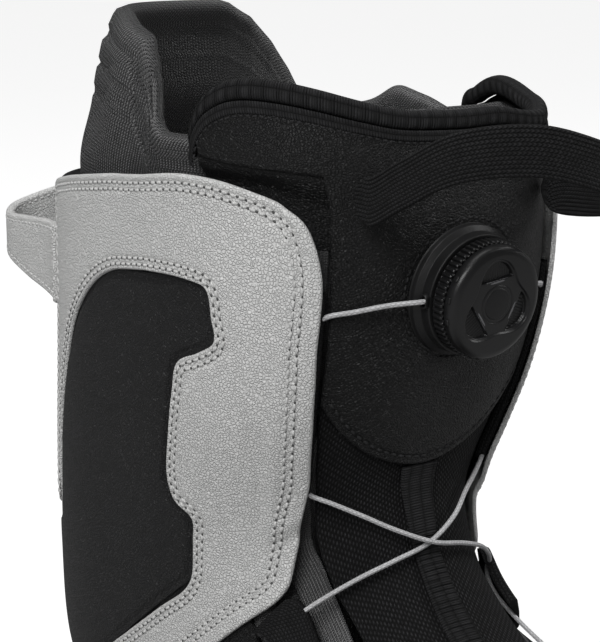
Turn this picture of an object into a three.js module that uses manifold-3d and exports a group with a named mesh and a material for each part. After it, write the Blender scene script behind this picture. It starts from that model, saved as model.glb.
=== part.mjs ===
import * as THREE from 'three';
import { mergeVertices } from 'three/addons/utils/BufferGeometryUtils.js';
import Module from 'manifold-3d';

const wasm = await Module();
wasm.setup();

// ---- Overall sizes, millimetres. The toe points to -Y, the lateral side is -X, the sole is at Z 0.
const BOOT_LENGTH = 292;
const BOOT_WIDTH = 124;
const BOOT_HEIGHT = 300;

// ---- Thicknesses and fits.
const FIT_GAP = 0.3;
const SKIN_GAP = 0.8;
const LINING_THICK = 2.4;
const QUARTER_THICK = 1.4;
const LEATHER_THICK = 1.4;
const INSET_THICK = 0.9;
const COUNTER_THICK = 1.5;
const TONGUE_PAD_THICK = 2.4;
const LINER_THICK = 6.2;
const GUSSET_THICK = 0.8;
const FOOTBED_THICK = 4.5;
const OUTSOLE_THICK = 9;
const TREAD_DEPTH = 3;
const SOLE_RIM_LINE = [[-200, 37], [-125, 36], [-70, 33], [10, 31], [75, 34], [115, 46], [150, 57], [200, 57]];
const GUIDE_HEIGHT = 3.0;
const LOOP_GUIDE_HEIGHT = 3.6;
const STRAP_WIDTH = 14;
const STRAP_THICK = 2.2;
const REAR_STRAP_THICK = 3.4;
const LACE_RADIUS = 0.75;
const LACE_CLEARANCE = 0.3;

// ---- Dial, measured from the tongue leather outwards along its own axis.
const DIAL_STATION = 13.83;
const FLANGE_RADIUS = 19.6;
const FLANGE_THICK = 1.2;
const COLLAR_RADIUS = 18.2;
const COLLAR_TOP = 5.3;
const CUP_RADIUS = 13.9;
const CUP_BORE = 12.2;
const CUP_TOP = 8.0;
const SPOOL_RADIUS = 11.2;
const SPOOL_CORE = 7.4;
const SPOOL_FLANGE = 0.8;
const SPOOL_GROOVE = 2.4;
const AXLE_RADIUS = 2.0;
const GRIP_RADIUS = 17.7;
const GRIP_RIBS = 60;
const GRIP_TOP = 10.0;
const KNOB_WALL = 1.9;
const CAP_RADIUS = 17.0;
const CAP_TOP = 14.8;
const DISC_RADIUS = 4.8;

// ---- Levels of the layers, measured outwards from the outside of the lining.
const COUNTER_OUT = -LINING_THICK - FIT_GAP;
const LINER_OUT = COUNTER_OUT - COUNTER_THICK - SKIN_GAP;
const LINER_IN = LINER_OUT - LINER_THICK;
const QUARTER_OUT = FIT_GAP + QUARTER_THICK;
const OVERLAY_IN = QUARTER_OUT + SKIN_GAP;
const OVERLAY_OUT = OVERLAY_IN + LEATHER_THICK;
const SHIELD_OUT = FIT_GAP + LEATHER_THICK;
const GUIDE_OUT = FIT_GAP + GUIDE_HEIGHT;
const EDGE_RAISE = GUIDE_OUT + SKIN_GAP - OVERLAY_IN;
const POCKET_OUT = QUARTER_OUT + FIT_GAP;

// ---- The boot's form. Each station is a closed girth, from the toe back and up the shaft:
// back or bottom point y z, front or top point y z, half width, centre x,
// share of the depth where it is widest, squareness of the back half and of the front half.
const REF = { length: 292, width: 124, height: 300 };
const STATIONS = [
  [-146, 30, -146, 38, 9, 3.0, 0.45, 3.0, 2.2],
  [-143, 24, -142, 54, 27, 3.0, 0.40, 3.5, 2.2],
  [-133, 22, -131, 66, 40, 2.5, 0.38, 4.0, 2.2],
  [-113, 22, -108, 76, 49, 1.5, 0.36, 4.0, 2.2],
  [-88, 22, -82, 85, 53, 0.5, 0.34, 4.0, 2.2],
  [-55, 22, -52, 98, 54, 0.0, 0.33, 4.0, 2.2],
  [-15, 23, -28, 114, 50, 1.0, 0.32, 4.0, 2.2],
  [30, 25, -14, 131, 46, 1.5, 0.34, 3.6, 2.2],
  [75, 27, -10, 144, 46, 1.0, 0.38, 3.2, 2.3],
  [122, 34, -9, 155, 49, 0.0, 0.42, 2.8, 2.4],
  [144, 60, -11, 165, 53, 0.0, 0.44, 2.5, 2.5],
  [146, 100, -15, 176, 57, 0.0, 0.46, 2.4, 2.6],
  [143, 140, -20, 190, 60, 0.0, 0.48, 2.4, 2.7],
  [140, 175, -25, 206, 61.5, 0.0, 0.49, 2.4, 2.7],
  [139, 206, -28, 222, 62, 0.0, 0.50, 2.4, 2.7],
  [139, 236, -29, 242, 62, 0.0, 0.50, 2.4, 2.7],
  [139, 265, -28, 265, 62, 0.0, 0.50, 2.4, 2.7],
  [134, 303, -22, 303, 55, 0.0, 0.50, 2.4, 2.5],
];
const LAST = STATIONS.length - 1;
const FORM_ROWS = [0, 0.5, 1.2, 2.2, 3.4, 4.7, 6, 7.1, 8, 8.7, 9.3, 10, 10.9, 12.1, 13.5, 15.1, 16.2, 17];
const FORM_SIDES = 24;

const scaleX = BOOT_WIDTH / REF.width;
const scaleY = BOOT_LENGTH / REF.length;
const scaleZ = BOOT_HEIGHT / REF.height;

function at(x, y, z) {
  return new THREE.Vector3(x * scaleX, y * scaleY, z * scaleZ);
}

function stationRow(k) {
  if (k < 0) return STATIONS[0].map((v, c) => 2 * v - STATIONS[1][c]);
  if (k > LAST) return STATIONS[LAST].map((v, c) => 2 * v - STATIONS[LAST - 1][c]);
  return STATIONS[k];
}

function girth(p) {
  const s = Math.min(Math.max(p, 0), LAST);
  const i = Math.min(Math.floor(s), LAST - 1);
  const t = s - i;
  const [a, b, c, d] = [-1, 0, 1, 2].map((k) => stationRow(i + k));
  return b.map((v, n) => 0.5 * (2 * v + (c[n] - a[n]) * t
    + (2 * a[n] - 5 * v + 4 * c[n] - d[n]) * t * t
    + (3 * v - a[n] - 3 * c[n] + d[n]) * t * t * t));
}

// q runs round the girth: 0 front or top, 1 and -1 back or bottom, negative on the lateral side.
function onForm(p, q) {
  const [backY, backZ, frontY, frontZ, half, midX, wide, squareBack, squareFront] = girth(p);
  const c = Math.cos(q * Math.PI);
  const s = Math.sin(q * Math.PI);
  const n = c > 0 ? squareFront : squareBack;
  const along = Math.pow(Math.abs(c), 2 / n);
  const across = Math.sign(s) * Math.pow(Math.abs(s), 2 / n);
  const midY = backY + wide * (frontY - backY);
  const midZ = backZ + wide * (frontZ - backZ);
  const endY = c > 0 ? frontY : backY;
  const endZ = c > 0 ? frontZ : backZ;
  return at(midX + half * across, midY + along * (endY - midY), midZ + along * (endZ - midZ));
}

function formNormal(p, q) {
  const step = 0.004;
  const alongP = onForm(Math.min(p + step, LAST), q).sub(onForm(Math.max(p - step, 0), q));
  const alongQ = onForm(p, q + step).sub(onForm(p, q - step));
  return alongQ.cross(alongP).normalize();
}

function surf(p, q, level) {
  return onForm(p, q).addScaledVector(formNormal(p, q), level);
}

// ---- Building closed solids.
function geometryOf(points, faces) {
  const geometry = new THREE.BufferGeometry();
  geometry.setAttribute('position', new THREE.Float32BufferAttribute(points.flatMap((v) => [v.x, v.y, v.z]), 3));
  geometry.setIndex(signedVolume(points, faces) < 0 ? faces.map((_, i) => faces[i - (i % 3) + [0, 2, 1][i % 3]]) : faces);
  return geometry;
}

function signedVolume(points, faces) {
  let sum = 0;
  for (let i = 0; i < faces.length; i += 3) {
    const [a, b, c] = [points[faces[i]], points[faces[i + 1]], points[faces[i + 2]]];
    sum += a.dot(new THREE.Vector3().crossVectors(b, c));
  }
  return sum;
}

// Rows of closed rings, capped at both ends.
function ringSolid(rings) {
  const n = rings[0].length;
  const points = rings.flat();
  const faces = [];
  for (let i = 0; i < rings.length - 1; i += 1) {
    for (let j = 0; j < n; j += 1) {
      const [a, b] = [i * n + j, i * n + ((j + 1) % n)];
      faces.push(a, b, a + n, b, b + n, a + n);
    }
  }
  for (const [row, turned] of [[0, true], [rings.length - 1, false]]) {
    const centre = rings[row].reduce((sum, v) => sum.add(v), new THREE.Vector3()).divideScalar(n);
    points.push(centre);
    for (let j = 0; j < n; j += 1) {
      const [a, b] = [row * n + j, row * n + ((j + 1) % n)];
      faces.push(...(turned ? [b, a, points.length - 1] : [a, b, points.length - 1]));
    }
  }
  return geometryOf(points, faces);
}

// A sheet with an inner and an outer grid of the same shape, closed round its edge.
function slab(inner, outer) {
  const rows = inner.length;
  const cols = inner[0].length;
  const size = rows * cols;
  const points = [...inner.flat(), ...outer.flat()];
  const faces = [];
  const quad = (a, b, c, d) => faces.push(a, b, c, a, c, d);
  for (let i = 0; i < rows - 1; i += 1) {
    for (let j = 0; j < cols - 1; j += 1) {
      const a = i * cols + j;
      quad(a, a + 1, a + cols + 1, a + cols);
      quad(size + a, size + a + cols, size + a + cols + 1, size + a + 1);
    }
  }
  for (let i = 0; i < rows - 1; i += 1) {
    const [a, b] = [i * cols, i * cols + cols - 1];
    quad(a, a + cols, size + a + cols, size + a);
    quad(b, size + b, size + b + cols, b + cols);
  }
  for (let j = 0; j < cols - 1; j += 1) {
    const [a, b] = [j, (rows - 1) * cols + j];
    quad(a, size + a, size + a + 1, a + 1);
    quad(b, b + 1, size + b + 1, size + b);
  }
  return geometryOf(points, faces);
}

function solidOf(geometry) {
  const bare = new THREE.BufferGeometry();
  bare.setAttribute('position', geometry.getAttribute('position').clone());
  if (geometry.index) bare.setIndex(geometry.index.clone());
  const joined = mergeVertices(bare, 1e-4);
  return new wasm.Manifold(new wasm.Mesh({
    numProp: 3,
    vertProperties: Float32Array.from(joined.getAttribute('position').array),
    triVerts: Uint32Array.from(joined.index.array),
  }));
}

function geometryFrom(solid) {
  const mesh = solid.getMesh();
  const geometry = new THREE.BufferGeometry();
  const points = new Float32Array(mesh.numVert * 3);
  for (let i = 0; i < mesh.numVert; i += 1) {
    for (let c = 0; c < 3; c += 1) points[3 * i + c] = mesh.vertProperties[i * mesh.numProp + c];
  }
  geometry.setAttribute('position', new THREE.BufferAttribute(points, 3));
  geometry.setIndex(new THREE.BufferAttribute(Uint32Array.from(mesh.triVerts), 1));
  return geometry;
}

const formCache = new Map();
function formSolid(level) {
  if (!formCache.has(level)) {
    const rings = FORM_ROWS.map((p) => Array.from({ length: FORM_SIDES },
      (_, j) => surf(p, -1 + (2 * j) / FORM_SIDES, level)));
    formCache.set(level, solidOf(ringSolid(rings)));
  }
  return formCache.get(level);
}

function layer(innerLevel, outerLevel) {
  return formSolid(outerLevel).subtract(formSolid(innerLevel));
}

function block(x0, x1, y0, y1, z0, z1) {
  const box = new THREE.BoxGeometry((x1 - x0) * scaleX, (y1 - y0) * scaleY, (z1 - z0) * scaleZ);
  const mid = at((x0 + x1) / 2, (y0 + y1) / 2, (z0 + z1) / 2);
  return solidOf(box.translate(mid.x, mid.y, mid.z));
}

function outlineShape(points, smooth = 0) {
  const list = points.map(([u, v]) => new THREE.Vector2(u, v));
  if (!smooth) return new THREE.Shape(list);
  const curve = new THREE.CatmullRomCurve3(list.map((v) => new THREE.Vector3(v.x, v.y, 0)), true);
  return new THREE.Shape(curve.getPoints(smooth).slice(0, -1).map((v) => new THREE.Vector2(v.x, v.y)));
}

// An outline in side view, given as y z, carried right across the boot.
function sideCut(points) {
  const shape = outlineShape(points.map(([y, z]) => [y * scaleY, z * scaleZ]));
  const depth = 240 * scaleX;
  const geometry = new THREE.ExtrudeGeometry(shape, { depth, bevelEnabled: false });
  return solidOf(geometry.applyMatrix4(new THREE.Matrix4().set(0, 0, 1, -depth / 2, 1, 0, 0, 0, 0, 1, 0, 0, 0, 0, 0, 1)));
}

// An outline in front view, given as half width and z, carried from the toe to depthEnd.
function frontCut(halfWidths, extra, depthEnd) {
  const right = halfWidths.map(([x, z]) => [(x + extra) * scaleX, z * scaleZ]);
  const left = halfWidths.map(([x, z]) => [-(x + extra) * scaleX, z * scaleZ]).reverse();
  const depth = (depthEnd + 160) * scaleY;
  const geometry = new THREE.ExtrudeGeometry(outlineShape([...right, ...left]), { depth, bevelEnabled: false });
  return solidOf(geometry.applyMatrix4(new THREE.Matrix4().set(1, 0, 0, 0, 0, 0, -1, depthEnd * scaleY, 0, 1, 0, 0, 0, 0, 0, 1)));
}

// ---- Pieces laid on the form between ribs; a rib is [p, q] at one edge and [p, q] at the other.
function ribGrid(ribs, shares, level) {
  return ribs.map(([[p0, q0], [p1, q1]]) => shares.map((t) => {
    const p = p0 + t * (p1 - p0);
    const q = q0 + t * (q1 - q0);
    return surf(p, q, typeof level === 'function' ? level(p, q) : level);
  }));
}

function ribSlab(ribs, shares, innerLevel, thickness) {
  const lift = (extra) => (p, q) => (typeof innerLevel === 'function' ? innerLevel(p, q) : innerLevel) + extra;
  return slab(ribGrid(ribs, shares, lift(0)), ribGrid(ribs, shares, lift(thickness)));
}

function evenShares(n) {
  return Array.from({ length: n + 1 }, (_, i) => i / n);
}

function mirrorRibs(ribs) {
  return ribs.map((rib) => rib.map(([p, q]) => [p, -q]));
}

function smoothRise(from, to, value) {
  const t = Math.min(Math.max((value - from) / (to - from), 0), 1);
  return t * t * (3 - 2 * t);
}

// ---- White cuff: a C round the inset, from the back strip over the top and down to the heel.
const CUFF_RIBS = [
  [[11.4, -0.672], [11.4, -0.694]], [[12.28, -0.657], [12.2, -0.7]], [[13.18, -0.615], [13.2, -0.7]],
  [[13.55, -0.593], [14.0, -0.7]], [[13.85, -0.565], [14.7, -0.7]], [[14.08, -0.535], [15.1, -0.69]],
  [[14.22, -0.505], [15.25, -0.62]], [[14.25, -0.48], [15.36, -0.54]], [[14.25, -0.465], [15.45, -0.48]],
  [[14.22, -0.427], [15.53, -0.42]], [[14.15, -0.392], [15.5, -0.36]], [[14.08, -0.377], [15.38, -0.305]],
  [[13.93, -0.37], [15.2, -0.255]], [[13.65, -0.365], [14.9, -0.22]], [[13.38, -0.358], [14.3, -0.2]],
  [[13.22, -0.362], [13.6, -0.198]], [[13.1, -0.385], [13.2, -0.198]], [[12.98, -0.415], [12.9, -0.197]],
  [[12.6, -0.42], [12.4, -0.193]], [[12.0, -0.422], [11.65, -0.189]], [[11.4, -0.42], [10.9, -0.188]],
  [[10.95, -0.405], [10.3, -0.189]], [[10.57, -0.377], [9.75, -0.198]], [[10.2, -0.376], [9.2, -0.211]],
  [[9.88, -0.38], [8.8, -0.223]], [[9.62, -0.387], [8.28, -0.257]], [[9.48, -0.4], [8.15, -0.28]],
  [[9.45, -0.417], [8.15, -0.305]], [[9.48, -0.445], [8.3, -0.36]], [[9.5, -0.485], [8.43, -0.42]],
  [[9.53, -0.525], [8.55, -0.47]], [[9.5, -0.57], [8.65, -0.52]], [[9.45, -0.62], [8.7, -0.57]],
];
const CUFF_SHARES = [0, 0.35, 0.62, 0.8, 1];

// ---- Leather inset inside the cuff: front edge and back edge at each height.
const INSET_RIBS = [
  [[14.18, -0.415], [14.18, -0.5]], [[14.0, -0.381], [14.0, -0.54]], [[13.6, -0.372], [13.6, -0.583]],
  [[13.28, -0.368], [13.28, -0.603]], [[13.1, -0.395], [13.1, -0.615]], [[12.95, -0.424], [12.95, -0.625]],
  [[12.3, -0.429], [12.3, -0.65]], [[11.4, -0.428], [11.4, -0.664]], [[11.3, -0.426], [11.3, -0.69]],
  [[10.9, -0.41], [10.9, -0.695]], [[10.5, -0.385], [10.5, -0.695]], [[10.0, -0.385], [10.0, -0.695]],
  [[9.6, -0.4], [9.56, -0.69]],
];

function cuffLevel(p, q) {
  return OVERLAY_IN + EDGE_RAISE * smoothRise(0.27, 0.245, Math.abs(q)) * smoothRise(9.0, 9.6, p);
}

// ---- The opening in front, half width against height, where the edges of the quarters stand.
const OPENING = [
  [34, 84], [39, 98], [40, 110], [41, 123], [41, 138], [42.5, 158], [45.5, 180], [48.5, 206], [50.5, 233], [52, 330],
];
const VAMP_END = [[-200, -20], [-200, 200], [-62, 200], [-62, 90], [-36, 20], [-36, -20]];
const SHELL_TOP = [[-60, 330], [-60, 235], [-8, 243], [10, 247], [45, 247], [85, 240], [160, 237], [200, 237], [200, 330]];
const LINER_GAP_HALF = 30;
const LINER_TOP = [[-60, 330], [-60, 262], [45, 262], [50, 266], [53, 280], [60, 290], [82, 296], [100, 298], [200, 298], [200, 330]];
const LINER_MEDIAL_TOP = [[80, 262], [45.5, 262], [41, 274], [36.5, 283], [30, 292], [22, 297], [14, 299], [14, 330], [80, 330]];

function lastedUpper(innerLevel, outerLevel) {
  return layer(innerLevel, outerLevel).subtract(sideCut(SHELL_TOP));
}

function shellLining() {
  const shaft = lastedUpper(-LINING_THICK, 0).subtract(frontCut(OPENING, -2, 46));
  return shaft.subtract(sideCut(VAMP_END));
}

function vamp() {
  const front = VAMP_END.map(([y, z]) => [y - FIT_GAP, z]);
  return layer(-LINING_THICK, 0).intersect(sideCut(front)).subtract(tongueRoom());
}

// Room for the lower end of the tongue in the vamp.
function tongueRoom() {
  return frontCut([[33, 93], [33, 200]], 0, -20);
}

function quarter(side) {
  const half = side < 0 ? block(-90, -FIT_GAP, -200, 200, 27, 320) : block(FIT_GAP, 90, -200, 200, 27, 320);
  const ahead = sideCut(VAMP_END.map(([y, z]) => [y - 16, z]));
  return lastedUpper(FIT_GAP, QUARTER_OUT).subtract(frontCut(OPENING, 1, 46)).subtract(ahead).intersect(half);
}

// Everything above the rim of the midsole, which rises round the heel.
function aboveRim(gap) {
  return sideCut([...SOLE_RIM_LINE.map(([y, z]) => [y, z + gap]), [200, 200], [-200, 200]]);
}

function toeCap() {
  return layer(FIT_GAP, FIT_GAP + 2).intersect(block(-90, 90, -200, -112, 20, 110))
    .intersect(aboveRim(FIT_GAP));
}

function heelCounter() {
  return layer(COUNTER_OUT - COUNTER_THICK, COUNTER_OUT).intersect(block(-90, 90, 72, 200, 31, 92));
}

function insoleBoard() {
  return layer(COUNTER_OUT - COUNTER_THICK, COUNTER_OUT).intersect(block(-90, 90, -200, 112, -10, 30));
}

// A prism along the boot from an outline of x and z, for a line seen from behind.
function rearCut(points) {
  const shape = outlineShape(points.map(([x, z]) => [x * scaleX, z * scaleZ]));
  const depth = 500 * scaleY;
  const geometry = new THREE.ExtrudeGeometry(shape, { depth, bevelEnabled: false });
  return solidOf(geometry.applyMatrix4(new THREE.Matrix4().set(1, 0, 0, 0, 0, 0, -1, depth / 2, 0, 1, 0, 0, 0, 0, 0, 1)));
}

function linerShell() {
  const open = frontCut([[LINER_GAP_HALF, 118], [LINER_GAP_HALF, 330]], 0, 46);
  return layer(LINER_IN, LINER_OUT).subtract(sideCut(LINER_TOP)).subtract(rearCut(LINER_MEDIAL_TOP)).subtract(open);
}

function footbed() {
  return formSolid(LINER_IN - FIT_GAP).intersect(block(-90, 90, -200, 124, -10, 34.5 + FOOTBED_THICK));
}

// ---- Sole.
const SOLE_OUTLINE = [
  [3, -153], [-24, -147], [-42, -128], [-53, -96], [-58, -55], [-55, -15], [-51, 30], [-50, 75], [-49, 110],
  [-38, 137], [-15, 151], [15, 151], [38, 137], [49, 110], [50, 75], [51, 30], [53, -15], [57, -55], [55, -96],
  [47, -128], [30, -147],
];

function soleSlice(z0, z1) {
  const shape = outlineShape(SOLE_OUTLINE.map(([x, y]) => [x * scaleX, y * scaleY]), 44);
  const geometry = new THREE.ExtrudeGeometry(shape, { depth: (z1 - z0) * scaleZ, bevelEnabled: false });
  return solidOf(geometry.translate(0, 0, z0 * scaleZ));
}

function outsole() {
  let sole = soleSlice(0, OUTSOLE_THICK);
  for (const y of [-128, -110, -92, -74, -56, -38, 56, 74, 92, 110, 128]) {
    sole = sole.subtract(block(-80, 80, y - 2.2, y + 2.2, -5, TREAD_DEPTH));
  }
  for (const [x, y0, y1] of [[-22, -160, -30], [22, -160, -30], [-20, 50, 160], [20, 50, 160]]) {
    sole = sole.subtract(block(x - 2, x + 2, y0, y1, -5, TREAD_DEPTH));
  }
  return sole;
}

function midsole() {
  const pocket = formSolid(POCKET_OUT).intersect(block(-90, 90, -200, 200, 26.7, 200));
  return soleSlice(OUTSOLE_THICK + FIT_GAP, 60).subtract(aboveRim(0)).subtract(formSolid(FIT_GAP)).subtract(pocket);
}

// ---- Tongue.
const TOP_EDGE = [
  [15.72, 0.405], [15.95, 0.4], [16.1, 0.388], [16.19, 0.37], [16.25, 0.345], [16.27, 0.31], [16.25, 0.26],
  [16.2, 0.205], [16.12, 0.14], [16.05, 0.08], [16.02, 0],
];
const WING_START = 0.2;
const MEDIAL_REACH = 0.29;
const MEDIAL_DROP = 0.24;
const TOP_LINE = [
  ...TOP_EDGE.map(([p, q]) => [p - wingDrop(q), wingReach(q)]),
  ...TOP_EDGE.slice(0, -1).reverse().map(([p, q]) => [p, -q]),
];

// The medial wing reaches further round than the lateral one.
function wingReach(q) {
  return q + MEDIAL_REACH * Math.max(q - WING_START, 0);
}

// The medial wing's top edge is cut lower.
function wingDrop(q) {
  const crest = 1 - 0.56 * smoothRise(0.27, 0.37, q) - 0.44 * smoothRise(0.385, 0.405, q);
  return MEDIAL_DROP * smoothRise(0.02, 0.2, q) * crest;
}

function topAt(girth) {
  const q = girth > WING_START ? WING_START + (girth - WING_START) / (1 + MEDIAL_REACH) : girth;
  return lateralTop(Math.abs(q)) - wingDrop(q);
}

function lateralTop(size) {
  for (let i = 0; i < TOP_EDGE.length - 1; i += 1) {
    const [[p1, q1], [p0, q0]] = [TOP_EDGE[i], TOP_EDGE[i + 1]];
    if (size >= q0 && size <= q1) return p0 + ((size - q0) / (q1 - q0)) * (p1 - p0);
  }
  return TOP_EDGE[0][0];
}

// Body of the tongue, from its sewn lower end at hemAt(share) to the wings at the top.
function tongueSheet(hemAt, halves, innerLevel, thickness) {
  const shares = evenShares(12).map((t) => 2 * t - 1);
  const rowsAt = (level) => halves.map(([row, half], i) => shares.map((t) => {
    const q = wingReach(t * half);
    const top = topAt(q) - 0.06;
    const low = hemAt(t);
    const p = i === halves.length - 1 ? top : Math.min(Math.max(row, low + i * 0.02), top - 0.04 * (halves.length - 1 - i));
    return surf(p, q, level);
  }));
  return slab(rowsAt(innerLevel), rowsAt(innerLevel + thickness));
}

const PAD_ROWS = [
  [5.0, 0.15], [5.8, 0.17], [6.6, 0.19], [7.4, 0.205], [8.2, 0.205], [9.0, 0.19], [9.8, 0.178], [10.8, 0.176],
  [12.0, 0.18], [13.2, 0.184], [14.3, 0.188], [15.2, 0.192], [15.58, 0.2], [15.63, 0.26], [15.68, 0.33], [15.73, 0.392], [16.3, 0.4],
];
const SHIELD_ROWS = [
  [9.8, 0.172], [10.4, 0.174], [11.2, 0.176], [12.2, 0.18], [13.2, 0.184], [14.3, 0.188], [15.2, 0.192],
  [15.58, 0.2], [15.63, 0.26], [15.68, 0.33], [15.73, 0.392], [16.3, 0.4],
];

function tongueHem(t) {
  return 9.75 + 2.2 * Math.pow(Math.abs(t), 1.6);
}

function tongueBinding() {
  const low = -TONGUE_PAD_THICK - 1.3;
  const high = SHIELD_OUT + 0.7;
  const section = [[0, low], [0.16, low], [0.16, high], [0, high]];
  const rings = TOP_LINE.map(([p, q]) => section.map(([rise, level]) => surf(p + rise, q, level)));
  return ringSolid(rings);
}

function tongueWeb() {
  const ribs = [5.0, 5.8, 6.6, 7.4, 8.2, 9.0, 9.65].map((p) => [[p, -webHalf(p)], [p, webHalf(p)]]);
  return ribSlab(ribs, [0, 0.5, 1], SKIN_GAP, 1.0);
}

function webHalf(p) {
  return 0.0265 + 0.004 * smoothRise(7, 5, p);
}

// ---- Guides that hold the lace at the edge of the opening.
const EDGE_GUIDE = [
  [9.95, 0.188], [10.4, 0.184], [11.0, 0.183], [11.8, 0.185], [12.6, 0.189], [13.3, 0.192], [14.0, 0.194],
];
const INSTEP_GUIDE = [[6.75, 0.262], [7.1, 0.258], [7.5, 0.256], [7.86, 0.262], [8.02, 0.275]];
const TOE_GUIDE = [[4.3, 0.19], [4.7, 0.196], [5.1, 0.212], [5.5, 0.232]];

function edgeGuide(side) {
  const ribs = EDGE_GUIDE.map(([p, q]) => [[p, side * q], [p, side * (q + 0.05)]]);
  return drilled(ribSlab(ribs, evenShares(3), FIT_GAP, GUIDE_HEIGHT));
}

function loopGuide(edge, depth, side, level) {
  const ribs = edge.map(([p, q]) => [[p, side * q], [p, side * (q + depth)]]);
  return drilled(ribSlab(ribs, evenShares(4), level, LOOP_GUIDE_HEIGHT));
}

function gusset(side) {
  const ribs = [6.4, 7.4, 8.4, 9.4, 10.4, 11.6, 12.8, 14.0, 15.0].map((p) => {
    const edge = p < 9 ? 0.2 : 0.18;
    return [[p, side * (edge + 0.012)], [p, side * (edge + 0.075)]];
  });
  return ribSlab(ribs, [0, 0.5, 1], -LINING_THICK - SKIN_GAP - GUSSET_THICK, GUSSET_THICK);
}

// ---- Dial frame: x across the boot, z outwards from the tongue.
const dialOrigin = surf(DIAL_STATION, 0, SHIELD_OUT + FIT_GAP);
const dialAxis = formNormal(DIAL_STATION, 0).setX(0).normalize();
const dialUp = new THREE.Vector3().crossVectors(dialAxis, new THREE.Vector3(1, 0, 0));
const dialFrame = new THREE.Matrix4().makeBasis(new THREE.Vector3(1, 0, 0), dialUp, dialAxis).setPosition(dialOrigin);
const dialTurned = dialFrame.clone().multiply(new THREE.Matrix4().makeRotationX(Math.PI / 2));
const LACE_PORT = FLANGE_THICK + FIT_GAP + SPOOL_FLANGE + SPOOL_GROOVE / 2 + 0.6;
const SPOOL_BASE = LACE_PORT - SPOOL_GROOVE / 2 - SPOOL_FLANGE;
const SPOOL_TOP = LACE_PORT + SPOOL_GROOVE / 2 + SPOOL_FLANGE;
const PAWL_BASE = SPOOL_TOP + FIT_GAP;
const PAWL_TOP = CUP_TOP - FIT_GAP;
const KNOB_BASE = COLLAR_TOP + 0.4;
const KNOB_PLATE = CUP_TOP + 0.7;

function dialPoint(x, y, z) {
  return new THREE.Vector3(x, y, z).applyMatrix4(dialFrame);
}

// A turned shape: profile as radius and height, starting and ending on the axis.
function turned(profile, sides) {
  const points = profile.map(([r, z]) => new THREE.Vector2(r, z));
  return solidOf(new THREE.LatheGeometry(points, sides).applyMatrix4(dialTurned));
}

function disc(radius, low, high, sides = 36) {
  return turned([[0, low], [radius, low], [radius, high], [0, high]], sides);
}

// A toothed prism, for ribs and ratchet teeth.
function toothed(inner, outer, count, low, high, lean) {
  const points = [];
  for (let k = 0; k < count; k += 1) {
    for (const [share, radius] of [[0, inner], [lean, outer], [Math.min(lean + 0.3, 0.85), outer]]) {
      const angle = (2 * Math.PI * (k + share)) / count;
      points.push([radius * Math.cos(angle), radius * Math.sin(angle)]);
    }
  }
  const geometry = new THREE.ExtrudeGeometry(outlineShape(points), { depth: high - low, bevelEnabled: false });
  return solidOf(geometry.translate(0, 0, low).applyMatrix4(dialFrame));
}

function dialBase() {
  const body = disc(FLANGE_RADIUS, -4, FLANGE_THICK).add(disc(COLLAR_RADIUS, -4, COLLAR_TOP))
    .subtract(disc(CUP_RADIUS + 0.6, COLLAR_TOP - 1, COLLAR_TOP + 1));
  const cup = body.add(disc(CUP_RADIUS, 0, CUP_TOP)).subtract(disc(CUP_BORE - 0.6, SPOOL_BASE - FIT_GAP, CUP_TOP + 1));
  const teeth = toothed(CUP_BORE - 0.6, CUP_BORE + 0.5, 18, PAWL_BASE - 0.4, CUP_TOP + 1, 0.6);
  return drilledSolid(cup.subtract(teeth).subtract(shieldRoom()));
}

// Keeps the base clear of the curved leather under it.
function shieldRoom() {
  const ribs = [12.2, 13.2, 14.3, 15.2].map((p) => [[p, -0.12], [p, 0.12]]);
  return solidOf(ribSlab(ribs, evenShares(6), -8, 8 + SHIELD_OUT + FIT_GAP));
}

function spool() {
  const core = disc(SPOOL_RADIUS, SPOOL_BASE, SPOOL_TOP, 32);
  const low = LACE_PORT - SPOOL_GROOVE / 2;
  const high = LACE_PORT + SPOOL_GROOVE / 2;
  const groove = disc(SPOOL_RADIUS + 2, low, high, 32).subtract(disc(SPOOL_CORE, low - 1, high + 1, 24));
  return core.subtract(groove).subtract(disc(AXLE_RADIUS + FIT_GAP, -5, 20, 16));
}

function pawlRing() {
  const ring = toothed(CUP_BORE - 2.4, CUP_BORE - 1.0, 6, PAWL_BASE, PAWL_TOP - 0.6, 0.25);
  return ring.subtract(disc(AXLE_RADIUS + FIT_GAP, -5, 20, 16));
}

function axle() {
  return turned([
    [0, SPOOL_BASE], [AXLE_RADIUS, SPOOL_BASE], [AXLE_RADIUS, PAWL_TOP - 0.3], [3.6, PAWL_TOP - 0.3],
    [3.6, CUP_TOP + 0.3], [0, CUP_TOP + 0.3]], 16);
}

function knobBody() {
  const outer = GRIP_RADIUS - 1.5;
  const cup = disc(outer, KNOB_BASE, GRIP_TOP).subtract(disc(outer - KNOB_WALL, KNOB_BASE - 1, KNOB_PLATE));
  return cup;
}

function knobGrip() {
  const ring = toothed(GRIP_RADIUS - 0.5, GRIP_RADIUS, GRIP_RIBS, KNOB_BASE, GRIP_TOP, 0.3);
  return ring.subtract(disc(GRIP_RADIUS - 1.5 + FIT_GAP, 0, 20, 48));
}

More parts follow.
